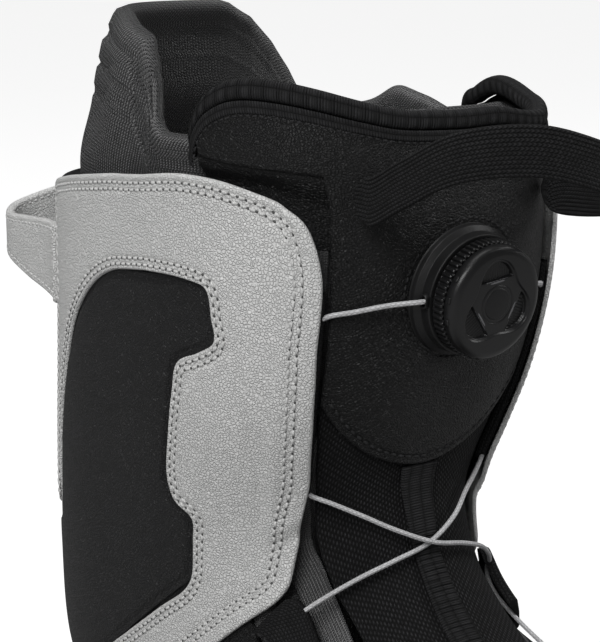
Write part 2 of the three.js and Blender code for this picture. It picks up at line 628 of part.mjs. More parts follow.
function knobCap() {
  const low = GRIP_TOP + FIT_GAP;
  const dome = turned([
    [0, low], [CAP_RADIUS - 0.6, low], [CAP_RADIUS, low + 0.6], [CAP_RADIUS, CAP_TOP - 2.2],
    [CAP_RADIUS - 1.0, CAP_TOP - 0.9], [CAP_RADIUS - 3.2, CAP_TOP - 0.2], [0, CAP_TOP]], 40);
  let recess = disc(DISC_RADIUS + FIT_GAP, CAP_TOP - 2.6, CAP_TOP + 2, 32);
  for (let k = 0; k < 3; k += 1) {
    const turn = new THREE.Matrix4().makeRotationZ((k * 2 * Math.PI) / 3 + 0.5);
    const lobe = [[0, -4.2], [11.8, -5.4], [12.6, 5.0], [0, 4.2]];
    const geometry = new THREE.ExtrudeGeometry(outlineShape(lobe), { depth: 5, bevelEnabled: false });
    recess = recess.add(solidOf(geometry.translate(0, 0, CAP_TOP - 1.9).applyMatrix4(turn).applyMatrix4(dialFrame)));
  }
  return dome.subtract(recess);
}

function knobDisc() {
  return disc(DISC_RADIUS, CAP_TOP - 2.3, CAP_TOP - 0.3, 32);
}

// ---- Straps that stand off the boot: path points with the strap's lower and upper edge.
function strap(path, thickness, steps) {
  const curveOf = (pick) => new THREE.CatmullRomCurve3(path.map(pick), false, 'centripetal');
  const low = curveOf(([x, y, z0]) => at(x, y, z0)).getPoints(steps);
  const high = curveOf(([x, y, , z1]) => at(x, y, z1)).getPoints(steps);
  const rings = low.map((point, i) => {
    const next = low[Math.min(i + 1, steps)];
    const last = low[Math.max(i - 1, 0)];
    const along = next.clone().sub(last).setZ(0).normalize();
    const out = new THREE.Vector3(along.y, -along.x, 0).multiplyScalar(thickness / 2);
    return [point.clone().add(out), high[i].clone().add(out), high[i].clone().sub(out), point.clone().sub(out)];
  });
  return ringSolid(rings);
}

// Its sewn ends are rounded about the line they fold on.
const FRONT_LOOP = [
  [-36, -22.3, 246.5, 249.5], [-36, -23.5, 244, 252], [-36, -25.8, 241.9, 254.1], [-36, -29.3, 241, 255],
  [-36.5, -43.3, 247.5, 261.5], [-32, -60.3, 256, 270], [-17, -74.3, 258, 272], [2, -78.3, 253, 267],
  [19, -71.3, 247, 261], [32, -52.3, 240.5, 254.5], [36, -29.3, 238, 252], [36, -25.8, 238.9, 251.1],
  [36, -23.5, 241, 249], [36, -22.3, 243.5, 246.5],
].map(([x, y, low, high]) => [x, y - SHIELD_OUT / scaleY, low, high]);
const REAR_LOOP_SIDE = [
  [-53.2, 114.8, 198, 225], [-51.5, 118, 198.5, 225], [-50, 126, 200, 225], [-48.6, 142, 203, 224], [-45.5, 160, 207, 223],
];
const REAR_LOOP_BACK = [[-37, 171, 208.5, 224.5], [-18, 175.5, 212, 228], [0, 176.5, 214, 230]];

function rearLoopPath() {
  const near = [...REAR_LOOP_SIDE, ...REAR_LOOP_BACK];
  return [...near, ...near.slice(0, -1).reverse().map(([x, ...rest]) => [-x, ...rest])];
}

function backstay() {
  const ribs = [10.3, 11.0, 11.8, 12.6, 13.4, 14.2, 15.02].map((p) => [[p, -0.775], [p, -1.225]]);
  return ribSlab(ribs, evenShares(10), OVERLAY_IN, LEATHER_THICK + 0.4);
}

// ---- Lace: one cord from one side of the spool to the other, through every guide.
const ON_SHIELD = SHIELD_OUT + LACE_RADIUS;
const IN_EDGE = FIT_GAP + GUIDE_HEIGHT / 2;
const IN_LOOP = OVERLAY_IN + LOOP_GUIDE_HEIGHT / 2;
const CROSS_LOW = 2.9;
const CROSS_HIGH = 5.0;
const LACE_SIDE = [
  [13.78, 0.1, ON_SHIELD + 1.8], [13.7, 0.15, ON_SHIELD + 1], [13.62, 0.19, ON_SHIELD], [13.45, 0.213, IN_EDGE],
  [13.1, 0.219, IN_EDGE], [12.4, 0.217, IN_EDGE], [11.6, 0.213, IN_EDGE], [10.9, 0.212, IN_EDGE],
  [10.4, 0.208, IN_EDGE], [10.05, 0.196, IN_EDGE + 0.4], [9.5, 0.176, 3.0], [8.65, 0.147, 3.2], [7.95, 0.078, 3.4],
];
const LACE_FAR_SIDE = [
  [7.28, 0.078, 3.5], [7.35, 0.147, 3.6], [7.5, 0.22, 3.8], [7.62, 0.27, IN_LOOP], [7.68, 0.29, IN_LOOP],
  [7.6, 0.306, IN_LOOP], [7.3, 0.312, IN_LOOP], [6.9, 0.308, IN_LOOP], [6.4, 0.294, 3.9], [5.8, 0.272, 3.8],
  [5.3, 0.25, IN_LOOP], [4.95, 0.226, IN_LOOP], [4.75, 0.2, IN_LOOP], [4.65, 0.15, 3.5], [4.6, 0.08, 3.2],
];

function lacePath() {
  const place = (side) => ([p, q, level]) => surf(p, side * q, level);
  const port = (side) => [7.9, 12, 16, 19.5].map((x) => dialPoint(side * x, 0, LACE_PORT));
  const first = [...port(-1), ...LACE_SIDE.map(place(-1)), surf(7.4, 0, CROSS_HIGH), ...LACE_FAR_SIDE.map(place(1))];
  const middle = [surf(4.58, 0, 3.0)];
  const second = [...port(1), ...LACE_SIDE.map(place(1)), surf(7.4, 0, CROSS_LOW), ...LACE_FAR_SIDE.map(place(-1))];
  return [...first, ...middle, ...second.reverse()];
}

function laceTube(radius, sides, extend) {
  const curve = new THREE.CatmullRomCurve3(lacePath(), false, 'centripetal');
  const count = 96;
  const frames = curve.computeFrenetFrames(count, false);
  const rings = [];
  for (let i = 0; i <= count; i += 1) {
    const centre = curve.getPointAt(i / count);
    if (i === 0) centre.addScaledVector(frames.tangents[0], -extend);
    if (i === count) centre.addScaledVector(frames.tangents[count], extend);
    rings.push(Array.from({ length: sides }, (_, k) => {
      const angle = (2 * Math.PI * k) / sides;
      return centre.clone().addScaledVector(frames.normals[i], radius * Math.cos(angle))
        .addScaledVector(frames.binormals[i], radius * Math.sin(angle));
    }));
  }
  return ringSolid(rings);
}

const laceBore = solidOf(laceTube(LACE_RADIUS + LACE_CLEARANCE, 6, 0));

function drilledSolid(solid) {
  return solid.subtract(laceBore);
}

function drilled(geometry) {
  return geometryFrom(drilledSolid(solidOf(geometry)));
}

// ---- Finishes.
const FINISH = {
  rubber: [0x18181a, 0.85],
  foam: [0x242426, 0.8],
  leather: [0x1c1c1e, 0.5],
  white_leather: [0xe9e9e7, 0.55],
  knit: [0x1a1a1b, 0.95],
  mesh: [0x141415, 0.9],
  webbing: [0x232325, 0.85],
  plastic: [0x1b1b1d, 0.4],
  board: [0x3a3632, 0.8],
  metal: [0x9a9c9f, 0.35],
  cord: [0xd7d7d5, 0.6],
};

const boot = new THREE.Group();
boot.name = 'snowboard_boot';

function add(name, finish, shape) {
  const geometry = shape.isBufferGeometry ? shape : geometryFrom(shape);
  const flat = geometry.index ? geometry.toNonIndexed() : geometry;
  flat.computeVertexNormals();
  const [color, roughness] = FINISH[finish];
  const material = new THREE.MeshStandardMaterial({ color, roughness, metalness: finish === 'metal' ? 0.9 : 0 });
  const mesh = new THREE.Mesh(flat, material);
  mesh.name = name;
  boot.add(mesh);
}

add('outsole', 'rubber', outsole());
add('midsole', 'foam', midsole());
add('insole_board', 'board', insoleBoard());
add('vamp', 'leather', vamp());
add('toe_cap', 'rubber', toeCap());
add('shell_lining', 'knit', shellLining());
add('heel_counter', 'board', heelCounter());
add('backstay', 'knit', backstay());
for (const [side, word] of [[-1, 'lateral'], [1, 'medial']]) {
  const turn = (ribs) => (side < 0 ? ribs : mirrorRibs(ribs));
  add(`${word}_quarter`, 'leather', quarter(side));
  add(`${word}_cuff`, 'white_leather', ribSlab(turn(CUFF_RIBS), CUFF_SHARES, cuffLevel, LEATHER_THICK));
  add(`${word}_inset`, 'leather', ribSlab(turn(INSET_RIBS), evenShares(5), OVERLAY_IN, INSET_THICK));
  add(`${word}_edge_guide`, 'webbing', edgeGuide(side));
  add(`${word}_instep_guide`, 'webbing', loopGuide(INSTEP_GUIDE, 0.075, side, OVERLAY_IN));
  add(`${word}_toe_guide`, 'webbing', loopGuide(TOE_GUIDE, 0.06, side, OVERLAY_IN));
  add(`${word}_gusset`, 'mesh', gusset(side));
}
add('rear_loop', 'white_leather', strap(rearLoopPath(), REAR_STRAP_THICK, 36));
add('liner_shell', 'knit', linerShell());
add('liner_tongue', 'knit', ribSlab(
  [8.6, 9.4, 10.4, 11.6, 12.8, 14.0, 15.2, 16.2].map((p) => [[p, -0.118], [p, 0.118]]),
  evenShares(6), LINER_IN, LINER_THICK));
add('footbed', 'foam', footbed());
add('lace', 'cord', laceTube(LACE_RADIUS, 8, 0));
add('tongue_pad', 'mesh', tongueSheet(() => 5.0, PAD_ROWS, -TONGUE_PAD_THICK, TONGUE_PAD_THICK));
add('tongue_shield', 'leather', tongueSheet(tongueHem, SHIELD_ROWS, FIT_GAP, LEATHER_THICK));
add('tongue_binding', 'webbing', tongueBinding());
add('tongue_web', 'webbing', tongueWeb());
add('front_loop', 'webbing', strap(FRONT_LOOP, STRAP_THICK, 32));
add('dial_base', 'plastic', dialBase());
add('dial_spool', 'plastic', spool());
add('dial_pawl_ring', 'plastic', pawlRing());
add('dial_axle', 'metal', axle());
add('knob_body', 'plastic', knobBody());
add('knob_grip', 'rubber', knobGrip());
add('knob_cap', 'plastic', knobCap());
add('knob_disc', 'plastic', knobDisc());

export default boot;
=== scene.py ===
"""Snowboard boot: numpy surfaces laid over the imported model, laid out as an add-on and run as a script."""
import bpy
import numpy as np
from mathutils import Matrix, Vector


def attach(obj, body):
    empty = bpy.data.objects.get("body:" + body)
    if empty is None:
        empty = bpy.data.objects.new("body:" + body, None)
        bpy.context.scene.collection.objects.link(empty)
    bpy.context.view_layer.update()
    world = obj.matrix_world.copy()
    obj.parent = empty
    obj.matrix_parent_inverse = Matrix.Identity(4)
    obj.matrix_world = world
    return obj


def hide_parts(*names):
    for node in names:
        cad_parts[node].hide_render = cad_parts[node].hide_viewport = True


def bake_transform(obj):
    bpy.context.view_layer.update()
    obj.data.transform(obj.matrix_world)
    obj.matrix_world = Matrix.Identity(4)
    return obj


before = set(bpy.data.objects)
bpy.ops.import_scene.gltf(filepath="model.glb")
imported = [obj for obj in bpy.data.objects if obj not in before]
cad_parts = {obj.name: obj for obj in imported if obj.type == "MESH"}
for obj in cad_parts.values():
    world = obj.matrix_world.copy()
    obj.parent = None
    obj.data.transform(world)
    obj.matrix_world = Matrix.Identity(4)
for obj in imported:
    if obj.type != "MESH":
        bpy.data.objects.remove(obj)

bl_info = {
    "name": "Snowboard boot",
    "version": (1, 0, 0),
    "blender": (4, 5, 0),
    "location": "3D View > Sidebar > Boot",
    "description": "Builds a dial-laced snowboard boot around its packed model",
    "category": "Add Mesh",
}

MM = 0.001
SIDES = ((-1, "lateral"), (1, "medial"))

# ---- The boot's form, in millimetres: toe to -Y, lateral side to -X, sole at Z 0.
# Each station is a closed girth: back or bottom point y z, front or top point y z, half width,
# centre x, share of the depth where it is widest, squareness of the back half and of the front half.
STATIONS = np.array([
    [-146, 30, -146, 38, 9, 3.0, 0.45, 3.0, 2.2],
    [-143, 24, -142, 54, 27, 3.0, 0.40, 3.5, 2.2],
    [-133, 22, -131, 66, 40, 2.5, 0.38, 4.0, 2.2],
    [-113, 22, -108, 76, 49, 1.5, 0.36, 4.0, 2.2],
    [-88, 22, -82, 85, 53, 0.5, 0.34, 4.0, 2.2],
    [-55, 22, -52, 98, 54, 0.0, 0.33, 4.0, 2.2],
    [-15, 23, -28, 114, 50, 1.0, 0.32, 4.0, 2.2],
    [30, 25, -14, 131, 46, 1.5, 0.34, 3.6, 2.2],
    [75, 27, -10, 144, 46, 1.0, 0.38, 3.2, 2.3],
    [122, 34, -9, 155, 49, 0.0, 0.42, 2.8, 2.4],
    [144, 60, -11, 165, 53, 0.0, 0.44, 2.5, 2.5],
    [146, 100, -15, 176, 57, 0.0, 0.46, 2.4, 2.6],
    [143, 140, -20, 190, 60, 0.0, 0.48, 2.4, 2.7],
    [140, 175, -25, 206, 61.5, 0.0, 0.49, 2.4, 2.7],
    [139, 206, -28, 222, 62, 0.0, 0.50, 2.4, 2.7],
    [139, 236, -29, 242, 62, 0.0, 0.50, 2.4, 2.7],
    [139, 265, -28, 265, 62, 0.0, 0.50, 2.4, 2.7],
    [134, 303, -22, 303, 55, 0.0, 0.50, 2.4, 2.5]])
LAST = len(STATIONS) - 1

# ---- Levels of the layers above or below the form.
LINING_IN = -2.4
LINER_OUT = -5.0
LINER_IN = -11.2
QUARTER_IN = 0.3
QUARTER_OUT = 1.7
OVERLAY_IN = 2.5
SHIELD_OUT = 1.7
EDGE_RAISE = 1.6

# ---- White cuff: ribs from its inner edge round the inset to its outer edge, lateral side.
CUFF_RIBS = np.array([
    [11.4, -0.672, 11.4, -0.694], [12.28, -0.657, 12.2, -0.7], [13.18, -0.615, 13.2, -0.7],
    [13.55, -0.593, 14.0, -0.7], [13.85, -0.565, 14.7, -0.7], [14.08, -0.535, 15.1, -0.69],
    [14.22, -0.505, 15.25, -0.62], [14.25, -0.48, 15.36, -0.54], [14.25, -0.465, 15.45, -0.48],
    [14.22, -0.427, 15.53, -0.42], [14.15, -0.392, 15.5, -0.36], [14.08, -0.377, 15.38, -0.305],
    [13.93, -0.37, 15.2, -0.255], [13.65, -0.365, 14.9, -0.22], [13.38, -0.358, 14.3, -0.2],
    [13.22, -0.362, 13.6, -0.198], [13.1, -0.385, 13.2, -0.198], [12.98, -0.415, 12.9, -0.197],
    [12.6, -0.42, 12.4, -0.193], [12.0, -0.422, 11.65, -0.189], [11.4, -0.42, 10.9, -0.188],
    [10.95, -0.405, 10.3, -0.189], [10.57, -0.377, 9.75, -0.198], [10.2, -0.376, 9.2, -0.211],
    [9.88, -0.38, 8.8, -0.223], [9.62, -0.387, 8.28, -0.257], [9.48, -0.4, 8.15, -0.28],
    [9.45, -0.417, 8.15, -0.305], [9.48, -0.445, 8.3, -0.36], [9.5, -0.485, 8.43, -0.42],
    [9.53, -0.525, 8.55, -0.47], [9.5, -0.57, 8.65, -0.52], [9.45, -0.62, 8.7, -0.57]])
# ---- Leather inset inside the cuff: its front edge and back edge, from the top down.
INSET_RIBS = np.array([
    [14.18, -0.415, 14.18, -0.5], [14.0, -0.381, 14.0, -0.54], [13.6, -0.372, 13.6, -0.583],
    [13.28, -0.368, 13.28, -0.603], [13.1, -0.395, 13.1, -0.615], [12.95, -0.424, 12.95, -0.625],
    [12.3, -0.429, 12.3, -0.65], [11.4, -0.428, 11.4, -0.664], [11.3, -0.426, 11.3, -0.69],
    [10.9, -0.41, 10.9, -0.695], [10.5, -0.385, 10.5, -0.695], [10.0, -0.385, 10.0, -0.695],
    [9.6, -0.4, 9.56, -0.69]])
OPENING = np.array([
    [34, 84], [39, 98], [40, 110], [41, 123], [41, 138], [42.5, 158], [45.5, 180], [48.5, 206],
    [50.5, 233], [52, 330]])
SHELL_TOP = np.array([[-60, 235], [-8, 243], [10, 247], [45, 247], [85, 240], [160, 237]])
LINER_TOP = np.array([[-60, 262], [45, 262], [50, 266], [53, 280], [60, 290], [82, 296], [100, 298],
    [200, 298]])
LINER_MEDIAL_TOP = np.array([[-80, 299], [14, 299], [22, 297], [30, 292], [36.5, 283], [41, 274],
    [45.5, 262], [80, 262]])
SOLE_RIM = np.array([[-200, 37], [-125, 36], [-70, 33], [10, 31], [75, 34], [115, 46], [150, 57], [200, 57]])
SOLE_OUTLINE = np.array([
    [3, -153], [-24, -147], [-42, -128], [-53, -96], [-58, -55], [-55, -15], [-51, 30], [-50, 75],
    [-49, 110], [-38, 137], [-15, 151], [15, 151], [38, 137], [49, 110], [50, 75], [51, 30],
    [53, -15], [57, -55], [55, -96], [47, -128], [30, -147]])
TOP_EDGE = np.array([
    [15.72, 0.405], [15.95, 0.4], [16.1, 0.388], [16.19, 0.37], [16.25, 0.345], [16.27, 0.31],
    [16.25, 0.26], [16.2, 0.205], [16.12, 0.14], [16.05, 0.08], [16.02, 0]])
TONGUE_HALF = np.array([
    [5.0, 0.15], [5.8, 0.17], [6.6, 0.19], [7.4, 0.205], [8.2, 0.205], [9.0, 0.19], [9.8, 0.178],
    [10.8, 0.176], [12.0, 0.18], [13.2, 0.184], [14.3, 0.188], [15.2, 0.192], [15.58, 0.2]])
WING_ROWS = np.array([[15.58, 0.2], [15.63, 0.26], [15.68, 0.33], [15.73, 0.392]])
EDGE_GUIDE = np.array([
    [9.95, 0.188], [10.4, 0.184], [11.0, 0.183], [11.8, 0.185], [12.6, 0.189], [13.3, 0.192], [14.0, 0.194]])
INSTEP_GUIDE = np.array([[6.75, 0.262], [7.1, 0.258], [7.5, 0.256], [7.86, 0.262], [8.02, 0.275]])
TOE_GUIDE = np.array([[4.3, 0.19], [4.7, 0.196], [5.1, 0.212], [5.5, 0.232]])

# ---- Straps that stand off the boot: path x y with the strap's lower and upper height.
FRONT_LOOP = np.array([
    [-36, -24.0, 246.5, 249.5], [-36, -25.2, 244, 252], [-36, -27.5, 241.9, 254.1], [-36, -31.0, 241, 255],
    [-36.5, -45.0, 247.5, 261.5], [-32, -62.0, 256, 270], [-17, -76.0, 258, 272], [2, -80.0, 253, 267],
    [19, -73.0, 247, 261], [32, -54.0, 240.5, 254.5], [36, -31.0, 238, 252], [36, -27.5, 238.9, 251.1],
    [36, -25.2, 241, 249], [36, -24.0, 243.5, 246.5]])
REAR_LOOP_HALF = np.array([
    [-53.2, 114.8, 198, 225], [-51.5, 118, 198.5, 225], [-50, 126, 200, 225], [-48.6, 142, 203, 224],
    [-45.5, 160, 207, 223], [-37, 171, 208.5, 224.5], [-18, 175.5, 212, 228], [0, 176.5, 214, 230]])

# ---- Lace route: the spool, the edge guides, the crossing and the lower guides, as station, girth, level.
LACE_SIDE = np.array([
    [13.78, 0.1, 4.25], [13.7, 0.15, 3.45], [13.62, 0.19, 2.45], [13.45, 0.213, 1.8], [13.1, 0.219, 1.8],
    [12.4, 0.217, 1.8], [11.6, 0.213, 1.8], [10.9, 0.212, 1.8], [10.4, 0.208, 1.8], [10.05, 0.193, 2.4],
    [9.45, 0.152, 3.2], [8.76, 0.112, 3.4], [7.98, 0.062, 3.5]])
LACE_FAR_SIDE = np.array([
    [7.28, 0.078, 3.5], [7.35, 0.147, 3.6], [7.5, 0.22, 3.8], [7.62, 0.27, 4.3], [7.68, 0.29, 4.3],
    [7.6, 0.306, 4.3], [7.3, 0.312, 4.3], [6.9, 0.308, 4.3], [6.4, 0.294, 3.9], [5.8, 0.272, 3.8],
    [5.3, 0.25, 4.3], [4.95, 0.226, 4.3], [4.75, 0.2, 4.3], [4.65, 0.15, 3.5], [4.6, 0.08, 3.2]])
LACE_PORT = 4.1

# ---- Dial: the origin and axis of its frame, and the turn of the cap's three arms.
DIAL_ORIGIN = np.array([0.0, -29.612, 218.770])
DIAL_AXIS = np.array([0.0, -0.99045, -0.13785])
CAP_TURN = np.radians(97.0)
CAMERA_TARGET = (0.0, 0.05, 0.196)


# ======== Curves and the form ========
def spline(table, t):
    """Rows of a table joined by a Catmull-Rom cubic and read at t, row k lying at t = k."""
    rows = np.asarray(table, float)
    last = len(rows) - 1
    t = np.clip(np.asarray(t, float), 0, last)
    k = np.clip(np.floor(t).astype(int), 0, last - 1)
    f = (t - k)[..., None]
    ends = np.concatenate([2 * rows[:1] - rows[1:2], rows, 2 * rows[-1:] - rows[-2:-1]])
    a, b, c, d = (ends[k + n] for n in range(4))
    return 0.5 * (2 * b + (c - a) * f + (2 * a - 5 * b + 4 * c - d) * f**2 + (3 * b - a - 3 * c + d) * f**3)


def chord_spline(points, t):
    """Catmull-Rom cubic whose knots are spaced by the square root of each chord, read at t in 0 to 1."""
    pts = np.asarray(points, float)
    last = len(pts) - 1
    t = np.clip(np.asarray(t, float) * last, 0, last)
    k = np.clip(np.floor(t).astype(int), 0, last - 1)
    f = (t - k)[:, None]
    ends = np.concatenate([2 * pts[:1] - pts[1:2], pts, 2 * pts[-1:] - pts[-2:-1]])
    a, b, c, d = (ends[k + n] for n in range(4))
    ta, tb, tc = (np.sqrt(np.linalg.norm(v, axis=1))[:, None] for v in (b - a, c - b, d - c))
    m0 = ((b - a) / ta - (c - a) / (ta + tb) + (c - b) / tb) * tb
    m1 = ((c - b) / tb - (d - b) / (tb + tc) + (d - c) / tc) * tb
    return b + m0 * f + (3 * (c - b) - 2 * m0 - m1) * f**2 + (2 * (b - c) + m0 + m1) * f**3


def form_point(p, q):
    """Point of the form: station p up the boot, girth q from 0 in front to 1 or -1 behind, as a
    superellipse."""
    p, q = np.broadcast_arrays(np.asarray(p, float), np.asarray(q, float))
    (back_y, back_z, front_y, front_z, half, mid_x, wide,
     square_back, square_front) = np.moveaxis(spline(STATIONS, p), -1, 0)
    c, s = np.cos(np.pi * q), np.sin(np.pi * q)
    power = 2 / np.where(c > 0, square_front, square_back)
    along, across = np.abs(c) ** power, np.sign(s) * np.abs(s) ** power
    mid_y, mid_z = back_y + wide * (front_y - back_y), back_z + wide * (front_z - back_z)
    end_y, end_z = np.where(c > 0, front_y, back_y), np.where(c > 0, front_z, back_z)
    return np.stack([mid_x + half * across, mid_y + along * (end_y - mid_y),
        mid_z + along * (end_z - mid_z)], -1)


def form_normal(p, q):
    """Outward normal of the form, from central differences in p and q."""
    step = 0.004
    along_p = form_point(np.minimum(p + step, LAST), q) - form_point(np.maximum(p - step, 0), q)
    along_q = form_point(p, q + step) - form_point(p, q - step)
    normal = np.cross(along_q, along_p)
    return normal / np.maximum(np.linalg.norm(normal, axis=-1, keepdims=True), 1e-9)


def surf(p, q, level):
    """Point at a level, in millimetres, along the normal above the form."""
    p, q = np.broadcast_arrays(np.asarray(p, float), np.asarray(q, float))
    return form_point(p, q) + np.asarray(level, float)[..., None] * form_normal(p, q)


def bisect(rising, low, high, steps=36):
    """Where a rising function crosses zero between low and high, for whole arrays."""
    for _ in range(steps):
        mid = (low + high) / 2
        above = rising(mid) > 0
        high = np.where(above, mid, high)
        low = np.where(above, low, mid)
    return (low + high) / 2


def smooth_step(start, end, value):
    """0 at start, 1 at end, with level ends."""
    t = np.clip((np.asarray(value, float) - start) / (end - start), 0, 1)
    return t * t * (3 - 2 * t)


def line_height(line, y):
    return np.interp(y, line[:, 0], line[:, 1])


def opening_girth(p, side, extra=0.0):
    """Girth at which the front opening's edge crosses station p on one side."""
    def past_edge(q):
        point = form_point(p, side * q)
        return np.abs(point[..., 0]) - np.interp(point[..., 2], OPENING[:, 1], OPENING[:, 0]) - extra
    return bisect(past_edge, np.full(np.shape(p), 0.02), np.full(np.shape(p), 0.5))


def rim_girth(p, side, drop):
    """Girth at which station p sinks under the rim of the sole by drop."""
    def below_rim(q):
        point = form_point(p, side * q)
        return line_height(SOLE_RIM, point[..., 1]) - drop - point[..., 2]
    return bisect(below_rim, np.full(np.shape(p), 0.12), np.ones(np.shape(p)))


def station_at(line, q, low, high, level=0.0):
    """Station at which girth q rises through a side-view line, at a level above the form."""
    def above_line(p):
        point = surf(p, q, np.full(np.shape(p), level))
        return point[..., 2] - line_height(line, point[..., 1])
    return bisect(above_line, np.full(np.shape(q), low), np.full(np.shape(q), high))


def wing_reach(q):
    """Girth on the tongue, where the medial wing reaches further round than the lateral one."""
    return q + 0.29 * np.maximum(q - 0.2, 0)


def wing_drop(q):
    """How many stations lower the medial wing's top edge is, at a girth before its reach."""
    crest = 1 - 0.56 * smooth_step(0.27, 0.37, q) - 0.44 * smooth_step(0.385, 0.405, q)
    return 0.24 * smooth_step(0.02, 0.2, q) * crest


# ======== Meshes from arrays ========
def write_mesh(name, points, quads, tris=None, uv=None, face_finish=None):
    """One mesh in metres from points in millimetres, its faces turned outwards by the sign of the volume
    they hold."""
    tris = np.zeros((0, 3), int) if tris is None else tris
    a, b, c, d = (points[quads[:, k]] for k in range(4))
    volume = np.sum(a * np.cross(b, c)) + np.sum(a * np.cross(c, d))
    volume += sum(np.sum(points[t[:, 0]] * np.cross(points[t[:, 1]], points[t[:, 2]])) for t in [tris])
    loops = np.concatenate([quads.ravel(), tris.ravel()])
    sizes = np.concatenate([np.full(len(quads), 4), np.full(len(tris), 3)])
    starts = np.concatenate([[0], np.cumsum(sizes)[:-1]])
    if volume < 0:
        order = np.concatenate([(np.arange(4 * len(quads)).reshape(-1, 4)[:, ::-1]).ravel(),
                                4 * len(quads) + (np.arange(3 * len(tris)).reshape(-1, 3)[:, ::-1]).ravel()])
        loops = loops[order]
        uv = None if uv is None else uv[order]
    mesh = bpy.data.meshes.new(name)
    mesh.vertices.add(len(points))
    mesh.vertices.foreach_set("co", (points * MM).astype(np.float32).ravel())
    mesh.loops.add(len(loops))
    mesh.loops.foreach_set("vertex_index", loops.astype(np.int32))
    mesh.polygons.add(len(sizes))
    mesh.polygons.foreach_set("loop_start", starts.astype(np.int32))
    if face_finish is not None:
        mesh.polygons.foreach_set("material_index", face_finish.astype(np.int32))
    if uv is not None:
        mesh.uv_layers.new(name="cloth").data.foreach_set("uv", uv.astype(np.float32).ravel())
    mesh.polygons.foreach_set("use_smooth", np.ones(len(sizes), bool))
    mesh.update(calc_edges=True)
    mesh.validate()
    return mesh


def add_piece(mesh, body, finishes, stands_for=()):
    """The mesh as a piece at the origin that rides on a body, with its finishes."""
    piece = bpy.data.objects.new(mesh.name, mesh)
    bpy.context.scene.collection.objects.link(piece)
    for finish in finishes:
        mesh.materials.append(finish)
    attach(piece, body)
    if stands_for:
        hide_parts(*stands_for)
    return piece


def ring_uv(rings):
    """Distances in metres along and across rows of closed rings, measured across from a quarter of the
    way round."""
    closed = np.concatenate([rings, rings[:, :1]], 1)
    across = np.linalg.norm(np.diff(closed, axis=1), axis=2)
    v = np.concatenate([np.zeros((len(rings), 1)), np.cumsum(across, 1)], 1)
    v -= v[:, rings.shape[1] // 4][:, None]
    along = np.linalg.norm(np.diff(closed, axis=0), axis=2).mean(1)
    u = np.concatenate([[0], np.cumsum(along)])
    return np.stack([np.broadcast_to(u[:, None], v.shape), v], -1) * MM


def ring_mesh(name, rings, fold=False, finish_of=None, whole=False):
    """Closed rings joined row to row. The ends are closed by a fan about their centre, or folded flat
    across where a ring is an outer edge row followed by its inner row turned back; whole joins last to
    first."""
    rows, n = rings.shape[:2]
    i, j = (v.ravel() for v in np.meshgrid(np.arange(rows - (0 if whole else 1)), np.arange(n),
        indexing="ij"))
    corner_rows = np.stack([i, i, i + 1, i + 1], 1)
    corner_cols = np.stack([j, j + 1, j + 1, j], 1)
    quads = (corner_rows % rows) * n + corner_cols % n
    grid_uv = ring_uv(np.concatenate([rings, rings[:1]]) if whole else rings)
    uv = [grid_uv[corner_rows, corner_cols].reshape(-1, 2)]
    points, tris, finish = rings.reshape(-1, 3), np.zeros((0, 3), int), None
    if finish_of is not None:
        finish = finish_of(i, j)
    if fold and not whole:
        k = np.arange(n // 2 - 1)
        start = np.stack([k, n - 1 - k, n - 2 - k, k + 1], 1)
        end = (rows - 1) * n + start[:, ::-1]
        uv += [grid_uv.reshape(-1, 2)[0:1].repeat(8 * len(k), 0)]
        quads = np.concatenate([quads, start, end])
        if finish is not None:
            finish = np.concatenate([finish, np.zeros(2 * len(k), int)])
    elif not whole:
        points = np.concatenate([points, rings[0].mean(0)[None], rings[-1].mean(0)[None]])
        k = np.arange(n)
        start = np.stack([(k + 1) % n, k, np.full(n, rows * n)], 1)
        end = np.stack([(rows - 1) * n + k, (rows - 1) * n + (k + 1) % n, np.full(n, rows * n + 1)], 1)
        tris = np.concatenate([start, end])
        uv += [np.zeros((6 * n, 2))]
        if finish is not None:
            finish = np.concatenate([finish, np.zeros(2 * n, int)])
    return write_mesh(name, points, quads, tris, np.concatenate(uv), finish)


def sheet_rings(outer, inner):
    """Rings of a sheet: each outer row, then its inner row turned back."""
    return np.concatenate([outer, inner[:, ::-1]], 1)


def edge_distance(points, edges, fill=3):
    """Shortest distance from each point to polylines whose steps are each split in three."""
    line = np.concatenate([np.concatenate([edge[:-1] + (edge[1:] - edge[:-1]) * k / fill for k
        in range(fill)] + [edge[-1:]])
                           for edge in edges])
    flat = points.reshape(-1, 3)
    square = np.sum(line**2, 1)
    best = np.concatenate([np.min(square - 2 * block @ line.T, 1) for block in np.array_split(flat,
        max(1, len(flat) // 4000))])
    return np.sqrt(np.maximum(best + np.sum(flat**2, 1), 0)).reshape(points.shape[:-1])


def round_over(distance, radius):
    """0 on an edge, rising along a quarter circle to 1 a radius inside it."""
    x = np.clip(distance / radius, 0, 1)
    return np.sqrt(np.maximum(1 - (1 - x) ** 2, 0))


def groove(distance, place, width=0.75):
    """A bell-shaped dip of depth 1 where the distance equals the place."""
    return np.exp(-(((distance - place) / width) ** 2))


def ripple(points, size, seed):
    """Gentle hand-made unevenness: a sum of three plane waves of the given size, between -1 and 1."""
    rng = np.random.default_rng(seed)
    turns = rng.normal(size=(3, 3))
    turns /= np.linalg.norm(turns, axis=1, keepdims=True)
    return np.mean(np.sin(points @ turns.T * (2 * np.pi / size) + rng.uniform(0, 6, 3)), -1)


def edge_spaced(count, ease=0.6):
    """Shares from 0 to 1 that crowd towards both ends."""
    t = np.linspace(0, 1, count)
    return (1 - ease) * t + ease * (0.5 - 0.5 * np.cos(np.pi * t))


